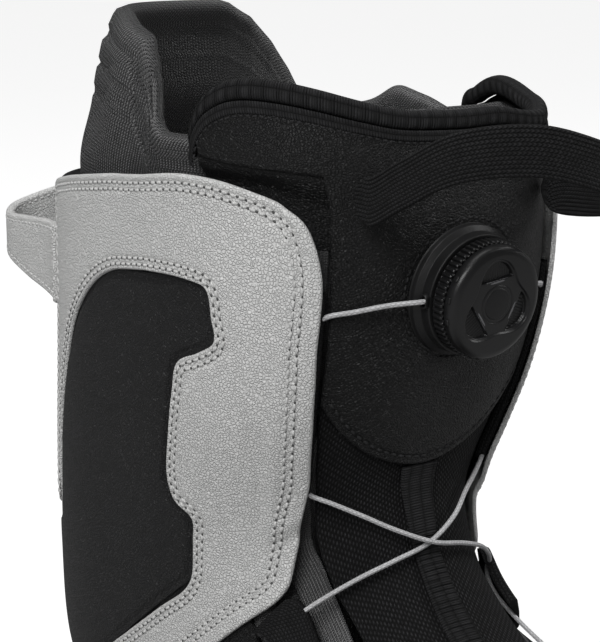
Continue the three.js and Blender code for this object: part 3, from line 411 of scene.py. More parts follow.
def even_ribs(table, count):
    """Ribs of p0 q0 p1 q1 read so that neither edge of the strip takes a long step."""
    t = np.linspace(0, len(table) - 1, 30 * len(table))
    fine = spline(table, t)
    steps = [np.linalg.norm(np.diff(form_point(fine[:, k], fine[:, k + 1]), axis=0), axis=1) for k in (0, 2)]
    run = np.concatenate([[0], np.cumsum(np.maximum(*steps))])
    return spline(table, np.interp(np.linspace(0, run[-1], count), run, t))


def across_ribs(ribs, shares):
    """Grids of p and q across ribs of p0 q0 p1 q1."""
    p = ribs[:, :1] + (ribs[:, 2:3] - ribs[:, :1]) * shares
    q = ribs[:, 1:2] + (ribs[:, 3:4] - ribs[:, 1:2]) * shares
    return p, q


def mirrored(ribs, side):
    """Lateral ribs as they are for side -1, with their girths turned over for side 1."""
    return ribs * np.tile([1, -side], ribs.shape[1] // 2)


# ======== Stitching ========
def offset_on_form(p, q, toward, distance):
    """A row moved along the form by a distance at right angles to itself, towards given points:
    a step in space, then Newton steps back to the p and q of that place."""
    point, normal = form_point(p, q), form_normal(p, q)
    run = np.gradient(point, axis=0)
    inward = np.cross(normal, run / np.linalg.norm(run, axis=1, keepdims=True))
    inward *= np.sign(np.sum(inward * (toward - point), 1))[:, None]
    target = point + inward * np.broadcast_to(distance, p.shape)[:, None]
    edge_p, edge_q, step = p, q, 0.004
    for _ in range(4):
        jac_p = (form_point(p + step, q) - form_point(p - step, q)) / (2 * step)
        jac_q = (form_point(p, q + step) - form_point(p, q - step)) / (2 * step)
        miss = target - form_point(p, q)
        pp, qq, pq = np.sum(jac_p**2, 1), np.sum(jac_q**2, 1), np.sum(jac_p * jac_q, 1)
        mp, mq, det = np.sum(jac_p * miss, 1), np.sum(jac_q * miss, 1), pp * qq - pq**2
        p, q = p + (mp * qq - mq * pq) / det, q + (mq * pp - mp * pq) / det
    clear = edge_distance(form_point(p, q), [form_point(edge_p, edge_q)]) > 0.93 * np.abs(distance)
    return p[clear], q[clear]


def stitch_row(p, q, level):
    """A row to sew along: its points at a level on the form, and the normals there."""
    return surf(p, q, np.broadcast_to(level, np.shape(p))), form_normal(p, q)


def prick(name, rows, sizes, body):
    """Painted shade of the needle holes between the stitches: small dark domes at the ends of each one."""
    pitch = sizes.stitch_pitch * 1000
    a = np.arange(8) * np.pi / 4
    template = np.concatenate([np.stack([0.52 * np.cos(a), 0.42 * np.sin(a), 0 * a - 0.12], 1),
        [[0, 0, 0.04]], [[0, 0, -0.3]]])
    k = np.arange(8)
    tris = np.concatenate([np.stack([k, (k + 1) % 8, np.full(8, 8)], 1),
        np.stack([(k + 1) % 8, k, np.full(8, 9)], 1)])
    domes = []
    for points, normals in rows:
        run = np.concatenate([[0], np.cumsum(np.linalg.norm(np.diff(points, axis=0), axis=1))])
        count = max(int(run[-1] / pitch), 1)
        ends = np.arange(count + 1) * run[-1] / count
        read = lambda s, rows_of: np.stack([np.interp(s, run, rows_of[:, c]) for c in range(3)], 1)
        x = read(np.minimum(ends + 0.5, run[-1]), points) - read(np.maximum(ends - 0.5, 0), points)
        x /= np.linalg.norm(x, axis=1, keepdims=True)
        z = read(ends, normals)
        y = np.cross(z, x)
        y /= np.linalg.norm(y, axis=1, keepdims=True)
        basis = np.stack([x, y, np.cross(x, y)], 1)
        domes.append(read(ends, points)[:, None] + np.einsum("vk,nkc->nvc", template, basis))
    domes = np.concatenate(domes)
    shift = np.arange(len(domes))[:, None, None] * len(template)
    mesh = write_mesh(name, domes.reshape(-1, 3), np.zeros((0, 4), int), (tris + shift).reshape(-1, 3))
    return add_piece(mesh, body, [bpy.data.materials["painted stitch-hole shade"]])


def sew(name, rows, sizes, body, thread, scale=1.0):
    """Stitches as short rounded bars set end to end along rows of points and normals, their ends pulled
    down."""
    shape_x = np.array([-0.5, -0.44, -0.2, 0.2, 0.44, 0.5])
    shape_r = np.array([0.0, 0.75, 1.0, 1.0, 0.75, 0.0])
    turn = np.arange(6) * np.pi / 3
    long, wide, pitch = (sizes.stitch_length * 1000 * scale, sizes.stitch_width * 500 * scale,
        sizes.stitch_pitch * 1000 * scale)
    template = [[[x * long, r * wide * np.cos(a), r * wide * np.sin(a) * 0.8 - 1.3 * wide * (2 * x) ** 4]
                 for a in turn] for x, r in zip(shape_x, shape_r)]
    template = np.concatenate([np.array(template[1:-1]).reshape(-1, 3), [template[0][0], template[-1][0]]])
    k = np.arange(6)
    quads = np.concatenate([np.stack([r * 6 + k, r * 6 + (k + 1) % 6, r * 6 + 6 + (k + 1) % 6,
        r * 6 + 6 + k], 1) for r in range(3)])
    tris = np.concatenate([np.stack([(k + 1) % 6, k, np.full(6, 24)], 1),
        np.stack([18 + k, 18 + (k + 1) % 6, np.full(6, 25)], 1)])
    bars = []
    for points, normals in rows:
        run = np.concatenate([[0], np.cumsum(np.linalg.norm(np.diff(points, axis=0), axis=1))])
        count = max(int(run[-1] / pitch), 1)
        middle = (np.arange(count) + 0.5) * run[-1] / count
        read = lambda s, rows_of: np.stack([np.interp(s, run, rows_of[:, c]) for c in range(3)], 1)
        x = read(middle + long / 2, points) - read(middle - long / 2, points)
        x /= np.linalg.norm(x, axis=1, keepdims=True)
        z = read(middle, normals)
        y = np.cross(z, x)
        y /= np.linalg.norm(y, axis=1, keepdims=True)
        basis = np.stack([x, y, np.cross(x, y)], 1)
        bars.append(read(middle, points)[:, None] + np.einsum("vk,nkc->nvc", template, basis))
    bars = np.concatenate(bars)
    shift = np.arange(len(bars))[:, None, None] * len(template)
    mesh = write_mesh(name, bars.reshape(-1, 3), (quads + shift).reshape(-1, 4), (tris + shift).reshape(-1,
        3))
    return add_piece(mesh, body, [thread])


# ======== Finishes ========
def node(tree, kind, inputs=None, **settings):
    """A shader node with its settings, and its inputs given as values or as sockets to link."""
    made = tree.nodes.new(kind)
    for key, value in settings.items():
        setattr(made, key, value)
    for key, value in (inputs or {}).items():
        if isinstance(value, bpy.types.NodeSocket):
            tree.links.new(value, made.inputs[key])
        else:
            made.inputs[key].default_value = value
    return made


def maths(tree, operation, a, b=0.0, c=0.0):
    return node(tree, "ShaderNodeMath", {0: a, 1: b, 2: c}, operation=operation).outputs[0]


def new_group(name, inputs, outputs):
    """An empty shader node group with named inputs and outputs."""
    tree = bpy.data.node_groups.new(name, "ShaderNodeTree")
    for label, kind, value in inputs:
        socket = tree.interface.new_socket(name=label, in_out="INPUT", socket_type=kind)
        if value is not None:
            socket.default_value = value
    for label in outputs:
        tree.interface.new_socket(name=label, in_out="OUTPUT", socket_type="NodeSocketFloat")
    return tree, tree.nodes.new("NodeGroupInput").outputs, tree.nodes.new("NodeGroupOutput").inputs


def build_grain_group():
    """Leather grain: pebbles between creases, with finer tooth on top."""
    tree, given, out = new_group(
        "Leather grain", [("Vector", "NodeSocketVector", None), ("Pebbles per metre", "NodeSocketFloat",
            900.0),
                          ("Tooth", "NodeSocketFloat", 0.3)], ["Height", "Creases"])
    bend = node(tree, "ShaderNodeTexNoise", {"Vector": given["Vector"], "Scale": 320.0, "Detail": 2.0})
    bent = node(tree, "ShaderNodeVectorMath", {0: bend.outputs["Color"], 3: 0.0007}, operation="SCALE")
    place = node(tree, "ShaderNodeVectorMath", {0: given["Vector"], 1: bent.outputs[0]},
        operation="ADD").outputs[0]
    cells = node(tree, "ShaderNodeTexVoronoi", {"Vector": place, "Scale": given["Pebbles per metre"]},
        feature="DISTANCE_TO_EDGE")
    crease = node(tree, "ShaderNodeMapRange", {"Value": cells.outputs["Distance"], "From Max": 0.22},
        interpolation_type="SMOOTHSTEP")
    fine = node(tree, "ShaderNodeTexNoise", {"Vector": given["Vector"], "Scale": 4200.0, "Detail": 2.0})
    tooth = maths(tree, "MULTIPLY", fine.outputs[0], given["Tooth"])
    tree.links.new(maths(tree, "ADD", crease.outputs[0], tooth), out["Height"])
    # Creases is 1 in the creases; leather_finish darkens the colour there as painted shade and raises the
    # roughness.
    tree.links.new(maths(tree, "SUBTRACT", 1.0, crease.outputs[0]), out["Creases"])


def build_thread_group():
    """Rows of raised threads on the cloth's own map: ovals set in rows, each row shifted, and slanted for
    a knit; besides the height, a tone that is painted highlight on each crest and painted shade in the gaps,
    times a random tone for each thread."""
    tree, given, out = new_group(
        "Raised threads", [("Vector", "NodeSocketVector", None), ("Across", "NodeSocketFloat", 0.0013),
                           ("Along", "NodeSocketFloat", 0.0012), ("Slant", "NodeSocketFloat", 0.0),
                           ("Shift", "NodeSocketFloat", 0.5), ("Fullness", "NodeSocketFloat", 0.7)],
                           ["Height", "Crest light and tone"])
    split = node(tree, "ShaderNodeSeparateXYZ", {0: given["Vector"]}).outputs
    across = maths(tree, "DIVIDE", split["Y"], given["Across"])
    row = maths(tree, "FLOOR", across)
    x = maths(tree, "SUBTRACT", across, row)
    lean = maths(tree, "MULTIPLY", maths(tree, "ABSOLUTE", maths(tree, "SUBTRACT", x, 0.5)), given["Slant"])
    shift = maths(tree, "MULTIPLY", maths(tree, "FLOORED_MODULO", row, 2.0), given["Shift"])
    along = maths(tree, "ADD", maths(tree, "ADD", maths(tree, "DIVIDE", split["X"], given["Along"]), shift),
        lean)
    y = maths(tree, "FRACT", along)
    round_x = maths(tree, "SINE", maths(tree, "MULTIPLY", x, np.pi))
    round_y = maths(tree, "SINE", maths(tree, "MULTIPLY", y, np.pi))
    height = maths(tree, "POWER", maths(tree, "MULTIPLY", round_x, round_y), given["Fullness"])
    which = node(tree, "ShaderNodeCombineXYZ", {0: row, 1: maths(tree, "FLOOR", along)})
    chance = node(tree, "ShaderNodeTexWhiteNoise", {"Vector": which.outputs[0]}, noise_dimensions="3D")
    tree.links.new(height, out["Height"])
    # The second output is each thread's height times a random tone: painted highlight on the crests and
    # painted shade in the gaps, besides real tone.
    tree.links.new(maths(tree, "MULTIPLY", height, maths(tree, "MULTIPLY_ADD", chance.outputs[0], 0.6,
        0.55)), out["Crest light and tone"])


def build_drift_group():
    """Slow drift of tone over a surface, and scattered rubbed patches."""
    tree, given, out = new_group(
        "Drift and rub", [("Vector", "NodeSocketVector", None), ("Patches per metre", "NodeSocketFloat",
            25.0)], ["Drift", "Rub"])
    slow = node(tree, "ShaderNodeTexNoise", {"Vector": given["Vector"], "Scale": given["Patches per metre"],
        "Detail": 3.0})
    quick = node(tree, "ShaderNodeTexNoise", {
        "Vector": given["Vector"], "Scale": maths(tree, "MULTIPLY", given["Patches per metre"], 9.0),
        "Detail": 5.0, "Roughness": 0.7})
    rub = node(tree, "ShaderNodeMapRange", {"Value": quick.outputs[0], "From Min": 0.52, "From Max": 0.75},
        interpolation_type="SMOOTHSTEP")
    tree.links.new(slow.outputs[0], out["Drift"])
    tree.links.new(rub.outputs[0], out["Rub"])


def group(tree, name, **values):
    made = node(tree, "ShaderNodeGroup", node_tree=bpy.data.node_groups[name])
    for key, value in values.items():
        label = key.replace("_", " ")
        if isinstance(value, bpy.types.NodeSocket):
            tree.links.new(value, made.inputs[label])
        else:
            made.inputs[label].default_value = value
    return made.outputs


def new_finish(name, **constants):
    """A material and its shader, with the values that are the same all over set on the shader's own
    sockets."""
    material = bpy.data.materials.new(name)
    material.use_nodes = True
    shader = material.node_tree.nodes["Principled BSDF"]
    for key, value in constants.items():
        shader.inputs[key.replace("_", " ")].default_value = value
    return material.node_tree, shader.inputs


def tone(tree, share, dark, light):
    """A colour between two, by a share that changes over the surface."""
    mix = node(tree, "ShaderNodeMix", {0: share}, data_type="RGBA")
    mix.inputs[6].default_value = (*dark, 1)
    mix.inputs[7].default_value = (*light, 1)
    return mix.outputs[2]


def scaled(colour, factor):
    return tuple(min(c * factor, 1.0) for c in colour)


def leather_finish(name, colour, pebbles, depth, roughness, spread=0.12, tooth=0.3, **constants):
    tree, sockets = new_finish(name, **constants)
    place = node(tree, "ShaderNodeTexCoord").outputs["Object"]
    grain = group(tree, "Leather grain", Vector=place, Pebbles_per_metre=pebbles, Tooth=tooth)
    drift = group(tree, "Drift and rub", Vector=place, Patches_per_metre=22.0)
    # The colour is pulled darker in the grain's creases: painted shade, on top of the slow drift of tone.
    share = maths(tree, "MULTIPLY_ADD", grain["Creases"], -0.45, drift["Drift"])
    tree.links.new(tone(tree, share, scaled(colour, 1 - spread), scaled(colour, 1 + spread)),
        sockets["Base Color"])
    rough = maths(tree, "MULTIPLY_ADD", grain["Creases"], 0.14, roughness)
    tree.links.new(maths(tree, "MULTIPLY_ADD", drift["Rub"], 0.08, rough), sockets["Roughness"])
    bump = node(tree, "ShaderNodeBump", {"Strength": 1.0, "Distance": depth, "Height": grain["Height"]})
    tree.links.new(bump.outputs[0], sockets["Normal"])


def thread_finish(name, dark, light, across, along, slant=0.0, shift=0.5, fullness=0.7, depth=0.0003,
                  fuzz=0.3, on_object=False, **constants):
    tree, sockets = new_finish(name, **constants)
    coords = node(tree, "ShaderNodeTexCoord").outputs
    cloth = coords["Object"] if on_object else coords["UV"]
    threads = group(tree, "Raised threads", Vector=cloth, Across=across, Along=along, Slant=slant,
        Shift=shift, Fullness=fullness)
    drift = group(tree, "Drift and rub", Vector=coords["Object"], Patches_per_metre=40.0)
    fibre = node(tree, "ShaderNodeTexNoise", {"Vector": coords["Object"], "Scale": 5200.0,
        "Detail": 2.0}).outputs[0]
    # Base colour runs from the dark colour in the gaps to the light one on the crests: painted shade and
    # painted highlight, with drift and fibre tone on top.
    share = maths(tree, "MULTIPLY", threads["Crest light and tone"], maths(tree, "MULTIPLY_ADD", drift["Drift"], 0.8, 0.6))
    share = maths(tree, "MULTIPLY", share, maths(tree, "MULTIPLY_ADD", fibre, 0.8, 0.6))
    tree.links.new(tone(tree, share, dark, light), sockets["Base Color"])
    tree.links.new(maths(tree, "MULTIPLY_ADD", threads["Height"], -0.15, 0.95), sockets["Roughness"])
    height = maths(tree, "MULTIPLY_ADD", fibre, fuzz, threads["Height"])
    bump = node(tree, "ShaderNodeBump", {"Strength": 1.0, "Distance": depth, "Height": height})
    tree.links.new(bump.outputs[0], sockets["Normal"])


def moulded_finish(name, colour, roughness, texture_scale, depth, spread=0.15, rub=0.12, **constants):
    """Moulded plastic, rubber, foam or board: fine texture, slow drift of tone and rubbed patches."""
    tree, sockets = new_finish(name, **constants)
    place = node(tree, "ShaderNodeTexCoord").outputs["Object"]
    drift = group(tree, "Drift and rub", Vector=place, Patches_per_metre=45.0)
    tree.links.new(tone(tree, drift["Drift"], scaled(colour, 1 - spread), scaled(colour, 1 + spread)),
        sockets["Base Color"])
    tree.links.new(maths(tree, "MULTIPLY_ADD", drift["Rub"], rub, roughness), sockets["Roughness"])
    fine = node(tree, "ShaderNodeTexNoise", {"Vector": place, "Scale": texture_scale,
        "Detail": 3.0}).outputs[0]
    bump = node(tree, "ShaderNodeBump", {"Strength": 1.0, "Distance": depth, "Height": fine})
    tree.links.new(bump.outputs[0], sockets["Normal"])


def make_finishes(looks):
    """Every finish of the boot, built once from the colours in the panel."""
    build_grain_group()
    build_thread_group()
    build_drift_group()
    white, black, knit = tuple(looks.white_leather), tuple(looks.black_leather), tuple(looks.knit)
    web, lace, plastic, rubber = (tuple(looks.webbing), tuple(looks.lace),
        tuple(looks.plastic), tuple(looks.rubber))
    leather_finish("white leather", white, 1000.0, 0.00032, 0.42, spread=0.05, tooth=0.35,
        Specular_IOR_Level=0.45)
    leather_finish("grained black leather", scaled(black, 1.5), 1200.0, 0.0004, 0.46, spread=0.25,
        Specular_IOR_Level=0.45)
    leather_finish("smooth black leather", scaled(black, 0.7), 1100.0, 0.00035, 0.42, spread=0.2, tooth=0.4,
                   Specular_IOR_Level=0.4)
    # In each thread finish the first colour is painted shade between the threads and the second is painted
    # highlight on their crests.
    thread_finish("liner knit", scaled(knit, 0.35), scaled(knit, 3.2), 0.0015, 0.0010, slant=1.0, shift=0.0,
        fullness=0.8,
                  depth=0.0014, fuzz=0.5, Sheen_Weight=0.3, Sheen_Roughness=0.5, Specular_IOR_Level=0.2)
    thread_finish("lining fleece", scaled(knit, 0.5), scaled(knit, 2.2), 0.0011, 0.0008, slant=0.6,
        shift=0.3, fullness=1.0,
                  depth=0.0008, fuzz=1.2, Sheen_Weight=0.4, Sheen_Roughness=0.5, Specular_IOR_Level=0.2)
    thread_finish("tongue mesh", scaled(knit, 0.15), scaled(knit, 4.0), 0.00105, 0.0019, slant=0.3,
        shift=0.5, fullness=2.6,
                  depth=0.0009, fuzz=0.5, Specular_IOR_Level=0.3)
    thread_finish("woven webbing", scaled(web, 0.3), scaled(web, 2.6), 0.0012, 0.0013, slant=1.0, shift=0.5,
        fullness=0.6,
                  depth=0.0009, fuzz=0.4, Specular_IOR_Level=0.3)
    thread_finish("ribbed tape", scaled(web, 0.3), scaled(web, 3.0), 0.0045, 0.00085, slant=0.0, shift=0.0,
        fullness=0.5,
                  depth=0.0006, fuzz=0.5, Specular_IOR_Level=0.3)
    thread_finish("braided lace", scaled(lace, 0.6), scaled(lace, 1.15), 0.00079, 0.0015, slant=0.8,
        shift=0.5, fullness=0.6,
                  depth=0.00012, fuzz=0.2, Specular_IOR_Level=0.5)
    thread_finish("white thread", scaled(white, 0.62), scaled(white, 1.0), 0.0004, 0.0012, on_object=True,
        depth=0.00006)
    thread_finish("black thread", scaled(black, 0.9), scaled(black, 3.2), 0.0004, 0.0012, on_object=True,
        depth=0.00006)
    # Near-black domes at the stitch ends: painted shade of the needle holes.
    moulded_finish("painted stitch-hole shade", scaled(white, 0.12), 0.8, 3000.0, 0.0001)
    moulded_finish("dial plastic", plastic, 0.34, 3800.0, 0.00003, Specular_IOR_Level=0.5)
    moulded_finish("satin plastic", scaled(plastic, 0.8), 0.46, 2600.0, 0.00006, Specular_IOR_Level=0.45)
    moulded_finish("grey strip", tuple(looks.strip), 0.38, 5200.0, 0.0002, spread=0.1, Metallic=0.25)
    moulded_finish("sole rubber", rubber, 0.72, 1800.0, 0.00015)
    moulded_finish("sole foam", scaled(rubber, 1.5), 0.66, 900.0, 0.0002)
    moulded_finish("board", (0.045, 0.04, 0.034), 0.8, 1400.0, 0.0002, spread=0.3)


def finish(name):
    return bpy.data.materials[name]


# ======== Pieces on the form ========
def laid_sheet(p, q, low, high, radius=0.9, edge=0.35, dips=(), lift=0.0):
    """Rings of a sheet between two levels, its top rounded down to a share of its thickness at the edge,
    with dips for sewn rows at distances from the edge; and each point's distance from the edge."""
    low = np.broadcast_to(np.asarray(low, float), p.shape)
    middle = surf(p, q, (low + high) / 2)
    clear = edge_distance(middle, [middle[0], middle[-1], middle[:, 0], middle[:, -1]])
    top = low + (high - low) * (edge + (1 - edge) * round_over(clear, radius)) + lift
    for place, depth in dips:
        top = top - depth * groove(clear, place)
    return sheet_rings(surf(p, q, top), surf(p, q, low)), clear


def cuff_base(p, q):
    """Level of the cuff's back, raised along its front edge over the lace guide."""
    return OVERLAY_IN + EDGE_RAISE * smooth_step(0.27, 0.245, np.abs(q)) * smooth_step(9.0, 9.6, p)


def make_cuff(side, word, sizes):
    """The cuff: ribs read round its C, rounded at both edges and dipped under its doubled rows of
    stitches."""
    thick = sizes.leather_thickness * 1000
    numbered = even_ribs(np.column_stack([CUFF_RIBS, np.arange(len(CUFF_RIBS))]), 430)
    t, ribs = numbered[:, 4], mirrored(numbered[:, :4], side)
    p, q = across_ribs(ribs, edge_spaced(46))
    base = cuff_base(p, q)
    middle = surf(p, q, base + thick / 2)
    from_inner, from_outer = edge_distance(middle, [middle[:, 0]]), edge_distance(middle, [middle[:, -1]])
    clear = np.minimum(np.minimum(from_inner, from_outer), edge_distance(middle, [middle[0], middle[-1]]))
    near = 2.6 + 2.6 * smooth_step(11, 14.5, t)
    rows_out, rows_in = (near, near + 2.1), (1.7, 3.6)
    sunk = sum(groove(from_outer, row[:, None]) for row in rows_out) + sum(groove(from_inner, row) for row
        in rows_in)
    top = base + thick * (0.3 + 0.7 * round_over(clear, 1.1)) - 0.45 * np.minimum(sunk,
        1) + 0.12 * ripple(middle, 41, 3)
    rings = sheet_rings(surf(p, q, top), surf(p, q, base))
    mesh = ring_mesh(word + "_cuff", rings, fold=True)
    add_piece(mesh, "shell", [finish("white leather")], [word + "_cuff"])
    edges = [(ribs[:, 2], ribs[:, 3], ribs[:, :2], rows_out), (ribs[:, 0], ribs[:, 1], ribs[:, 2:], rows_in)]
    sewn = []
    for edge_p, edge_q, other, rows in edges:
        for row in rows:
            sp, sq = offset_on_form(edge_p, edge_q, form_point(other[:, 0], other[:, 1]),
                np.broadcast_to(row, t.shape))
            sewn.append(stitch_row(sp[4:-4], sq[4:-4], cuff_base(sp[4:-4], sq[4:-4]) + thick - 0.16))
    sew(word + "_cuff_stitches", sewn, sizes, "shell", finish("white thread"))
    # Dark domes at the stitch ends: painted shade of the needle holes.
    prick(word + "_cuff_hole_shade", sewn, sizes, "shell")


def make_inset(side, word):
    """The inset: its edges tucked flat under the cuff, rising to the full level inside them."""
    ribs = INSET_RIBS.copy()
    ribs[:, 1] += 0.011
    ribs[:, 3] -= 0.011
    ribs[0, [0, 2]] += 0.05
    ribs[-1, [0, 2]] -= 0.05
    ribs = mirrored(even_ribs(ribs, 210), side)
    p, q = across_ribs(ribs, edge_spaced(74))
    middle = surf(p, q, 2.6)
    clear = edge_distance(middle, [middle[0], middle[-1], middle[:, 0], middle[:, -1]])
    rise = smooth_step(1.6, 3.4, clear)
    top = 2.36 + 0.95 * rise + 0.15 * ripple(middle, 47, 5) * rise
    rings = sheet_rings(surf(p, q, top), surf(p, q, np.full(p.shape, 1.82)))
    add_piece(ring_mesh(word + "_inset", rings, fold=True), "shell", [finish("grained black leather")],
              [word + "_inset"])


def quarter_grid(side, rows, cols, extra, front, drop, back_gap, level):
    """Grids of p and q over one side of the shaft: up from the vamp seam to the top line,
    and round from the front opening to the back seam or down to the sole."""
    s, r = edge_spaced(rows, 0.4)[:, None], edge_spaced(cols, 0.7)[None, :]
    q = np.broadcast_to(0.2 + 0.8 * r, (rows, cols))
    for _ in range(3):
        start = front + 0.7 * smooth_step(0.25, 0.7, q[0])
        top = station_at(SHELL_TOP, side * q[-1], 12.0, 16.9, level)
        p = start + (top - start) * s
        open_q = opening_girth(p[:, 0], side, extra)[:, None]
        end_q = np.minimum(rim_girth(p[:, -1], side, drop), 1 - back_gap)[:, None]
        q = open_q + (end_q - open_q) * r
    return p, side * q


def make_quarter(side, word, sizes):
    p, q = quarter_grid(side, 230, 110, 1.0, 4.3, 6.0, 0.0012, 1.0)
    rings, _ = laid_sheet(p, q, QUARTER_IN, QUARTER_OUT, 1.2, dips=[(2.6, 0.25)])
    cloth = (np.abs(q) > 0.71) & (p > 9.4)

    def knit_behind(i, j):
        col = np.minimum(np.where(j < q.shape[1], j, 2 * q.shape[1] - 1 - j), q.shape[1] - 1)
        return cloth[i, col].astype(int)
    mesh = ring_mesh(word + "_quarter", rings, fold=True, finish_of=knit_behind)
    add_piece(mesh, "shell", [finish("smooth black leather"), finish("liner knit")], [word + "_quarter"])
    seam_p, seam_q = p[0], q[0]
    rows = []
    for distance in (2.4, 4.6):
        sp, sq = offset_on_form(seam_p, seam_q, form_point(p[30], q[30]), distance)
        rows.append(stitch_row(sp, sq, QUARTER_OUT - 0.05))
    sew(word + "_vamp_stitches", rows, sizes, "shell", finish("black thread"))


def make_lining():
    """The shell's lining: one wrap from the medial opening round the back to the lateral opening."""
    rows, cols = 150, 170
    s, r = edge_spaced(rows, 0.4)[:, None], edge_spaced(cols, 0.5)[None, :]
    q = np.broadcast_to(0.2 + 1.6 * r, (rows, cols))
    for _ in range(3):
        fold = np.minimum(q, 2 - q)
        start = 4.76 + 0.65 * smooth_step(0.25, 0.7, fold[0])
        top = station_at(SHELL_TOP, q[-1], 12.0, 16.9)
        p = start + (top - start) * s
        medial = opening_girth(p[:, 0], 1, -2.0)[:, None]
        lateral = opening_girth(p[:, -1], -1, -2.0)[:, None]
        q = medial + (2 - lateral - medial) * r
    rings, _ = laid_sheet(p, q, LINING_IN, 0.0, 1.2)
    add_piece(ring_mesh("shell_lining", rings, fold=True), "shell", [finish("lining fleece")],
        ["shell_lining"])


def make_vamp(sizes):
    rows, cols = 120, 150
    s, r = edge_spaced(rows, 0.4)[:, None], np.linspace(-1, 1, cols)[None, :]
    q = np.broadcast_to(0.62 * r, (rows, cols))
    for _ in range(3):
        end = 4.5 + 0.22 * smooth_step(0.2, 0.25, np.abs(q[-1])) + 0.62 * smooth_step(0.25, 0.7,
            np.abs(q[-1]))
        p = 0.04 + (end - 0.04) * s
        low, high = rim_girth(p[:, 0], -1, 6.0)[:, None], rim_girth(p[:, -1], 1, 6.0)[:, None]
        q = np.where(r < 0, r * low, r * high)
    rings, _ = laid_sheet(p, q, LINING_IN, 0.0, 1.0, dips=[(2.4, 0.2)])
    add_piece(ring_mesh("vamp", rings, fold=True), "shell", [finish("grained black leather")], ["vamp"])
    rows, cols = 70, 130
    s, r = edge_spaced(rows, 0.5)[:, None], np.linspace(-1, 1, cols)[None, :]
    p = 0.04 + (2.88 + 0.12 * r**2 - 0.04) * s
    low, high = rim_girth(p[:, 0], -1, 5.0)[:, None], rim_girth(p[:, -1], 1, 5.0)[:, None]
    q = np.where(r < 0, r * low, r * high)
    rings, _ = laid_sheet(p, q, 0.3, 2.3, 1.4, edge=0.2, dips=[(3.2, 0.25)])
    add_piece(ring_mesh("toe_cap", rings, fold=True), "shell", [finish("sole rubber")], ["toe_cap"])
    sp, sq = offset_on_form(p[-1], q[-1], form_point(p[-12], q[-12]), 3.2)
    sew("toe_cap_stitches", [stitch_row(sp, sq, 2.1)], sizes, "shell", finish("black thread"))


def make_backstay(sizes):
    t = np.linspace(10.3, 15.02, 130)[:, None]
    q = -0.775 - 0.45 * edge_spaced(90)[None, :]
    p, q = np.broadcast_arrays(t, q)
    rings, _ = laid_sheet(p, q, OVERLAY_IN, 4.3, 1.3, dips=[(2.4, 0.3)])
    add_piece(ring_mesh("backstay", rings, fold=True), "shell", [finish("liner knit")], ["backstay"])
    outline = [(t[:, 0], np.full(130, -0.775)), (t[:, 0], np.full(130, -1.225)), (np.full(90, 15.02), q[-1]),
        (np.full(90, 10.3), q[0])]
    centre = form_point(12.7, -1.0)[None]
    rows = [stitch_row(*offset_on_form(a, b, centre, 2.4), 4.15) for a, b in outline]
    sew("backstay_stitches", rows, sizes, "shell", finish("black thread"))


def make_gusset(side, word):
    rows = np.linspace(6.4, 15.0, 90)[:, None]
    edge = 0.2 - 0.02 * smooth_step(8.4, 9.4, rows)
    q = side * (edge + 0.012 + 0.063 * edge_spaced(14)[None, :])
    p = np.broadcast_to(rows, q.shape)
    rings, _ = laid_sheet(p, q, -4.0, -3.2, 0.4)
    add_bending(ring_mesh(word + "_gusset", rings, fold=True), [finish("lining fleece")],
        [word + "_gusset"])


# ======== Tongue ========
def tongue_grid(rows, cols, foot):
    """Grids of p and q over the tongue: from its lower edge foot(t) up the throat, then out into the wings
    and up to the top edge. t runs from -1 to 1 across."""
    t = 2 * edge_spaced(cols, 0.5)[None, :] - 1
    top_line = TOP_EDGE[::-1]
    throat_rows, wing_rows = int(rows * 0.72), rows - int(rows * 0.72)
    s = edge_spaced(throat_rows, 0.3)[:, None]
    low = foot(t)
    p_throat = low + (15.58 - low) * s
    q_throat = t * np.interp(p_throat, TONGUE_HALF[:, 0], TONGUE_HALF[:, 1])
    w = np.linspace(0, 1, wing_rows + 1)[1:, None]
    row_p = 15.58 + 0.15 * np.clip(w / 0.42, 0, 1)
    half = np.interp(row_p, WING_ROWS[:, 0], WING_ROWS[:, 1]) + 0.008 * np.clip((w - 0.42) / 0.58, 0, 1)
    q_wing = t * half
    top = np.interp(np.abs(q_wing), top_line[:, 1], top_line[:, 0]) - wing_drop(q_wing) - 0.06
    p_wing = row_p + (top - row_p) * smooth_step(0.0, 1.0, np.clip((w - 0.3) / 0.7, 0, 1))
    return np.concatenate([p_throat, p_wing]), wing_reach(np.concatenate([q_throat, q_wing]))


def hem_station(t):
    return 9.75 + 2.2 * np.abs(t) ** 1.6


def make_tongue(sizes):
    """The tongue: padded mesh body, and the leather shield sewn on above the hem."""
    p, q = tongue_grid(230, 100, lambda t: 5.0 + 0 * t)
    rings, _ = laid_sheet(p, q, LINING_IN, 0.0, 1.1, lift=0.1 * ripple(surf(p, q, 0 * p), 33, 7))
    cols = p.shape[1]
    mesh = ring_mesh("tongue_pad", rings, fold=True, finish_of=lambda i, j: (j >= cols).astype(int))
    add_piece(mesh, "tongue", [finish("tongue mesh"), finish("liner knit")], ["tongue_pad"])
    p, q = tongue_grid(250, 130, hem_station)
    middle = surf(p, q, 1.0 + 0 * p)
    from_hem = edge_distance(middle, [middle[0]])
    lift = 0.12 * ripple(middle, 52, 9) - 0.28 * groove(from_hem, 3.0)
    rings, _ = laid_sheet(p, q, QUARTER_IN, SHIELD_OUT, 1.0, lift=lift)
    add_piece(ring_mesh("tongue_shield", rings, fold=True), "tongue", [finish("smooth black leather")],
              ["tongue_shield"])
    hem_p, hem_q = offset_on_form(p[0], q[0], form_point(13.0, 0.0)[None], 3.0)
    sew("tongue_hem_stitches", [stitch_row(hem_p, hem_q, SHIELD_OUT - 0.12)], sizes, "tongue",
        finish("black thread"))


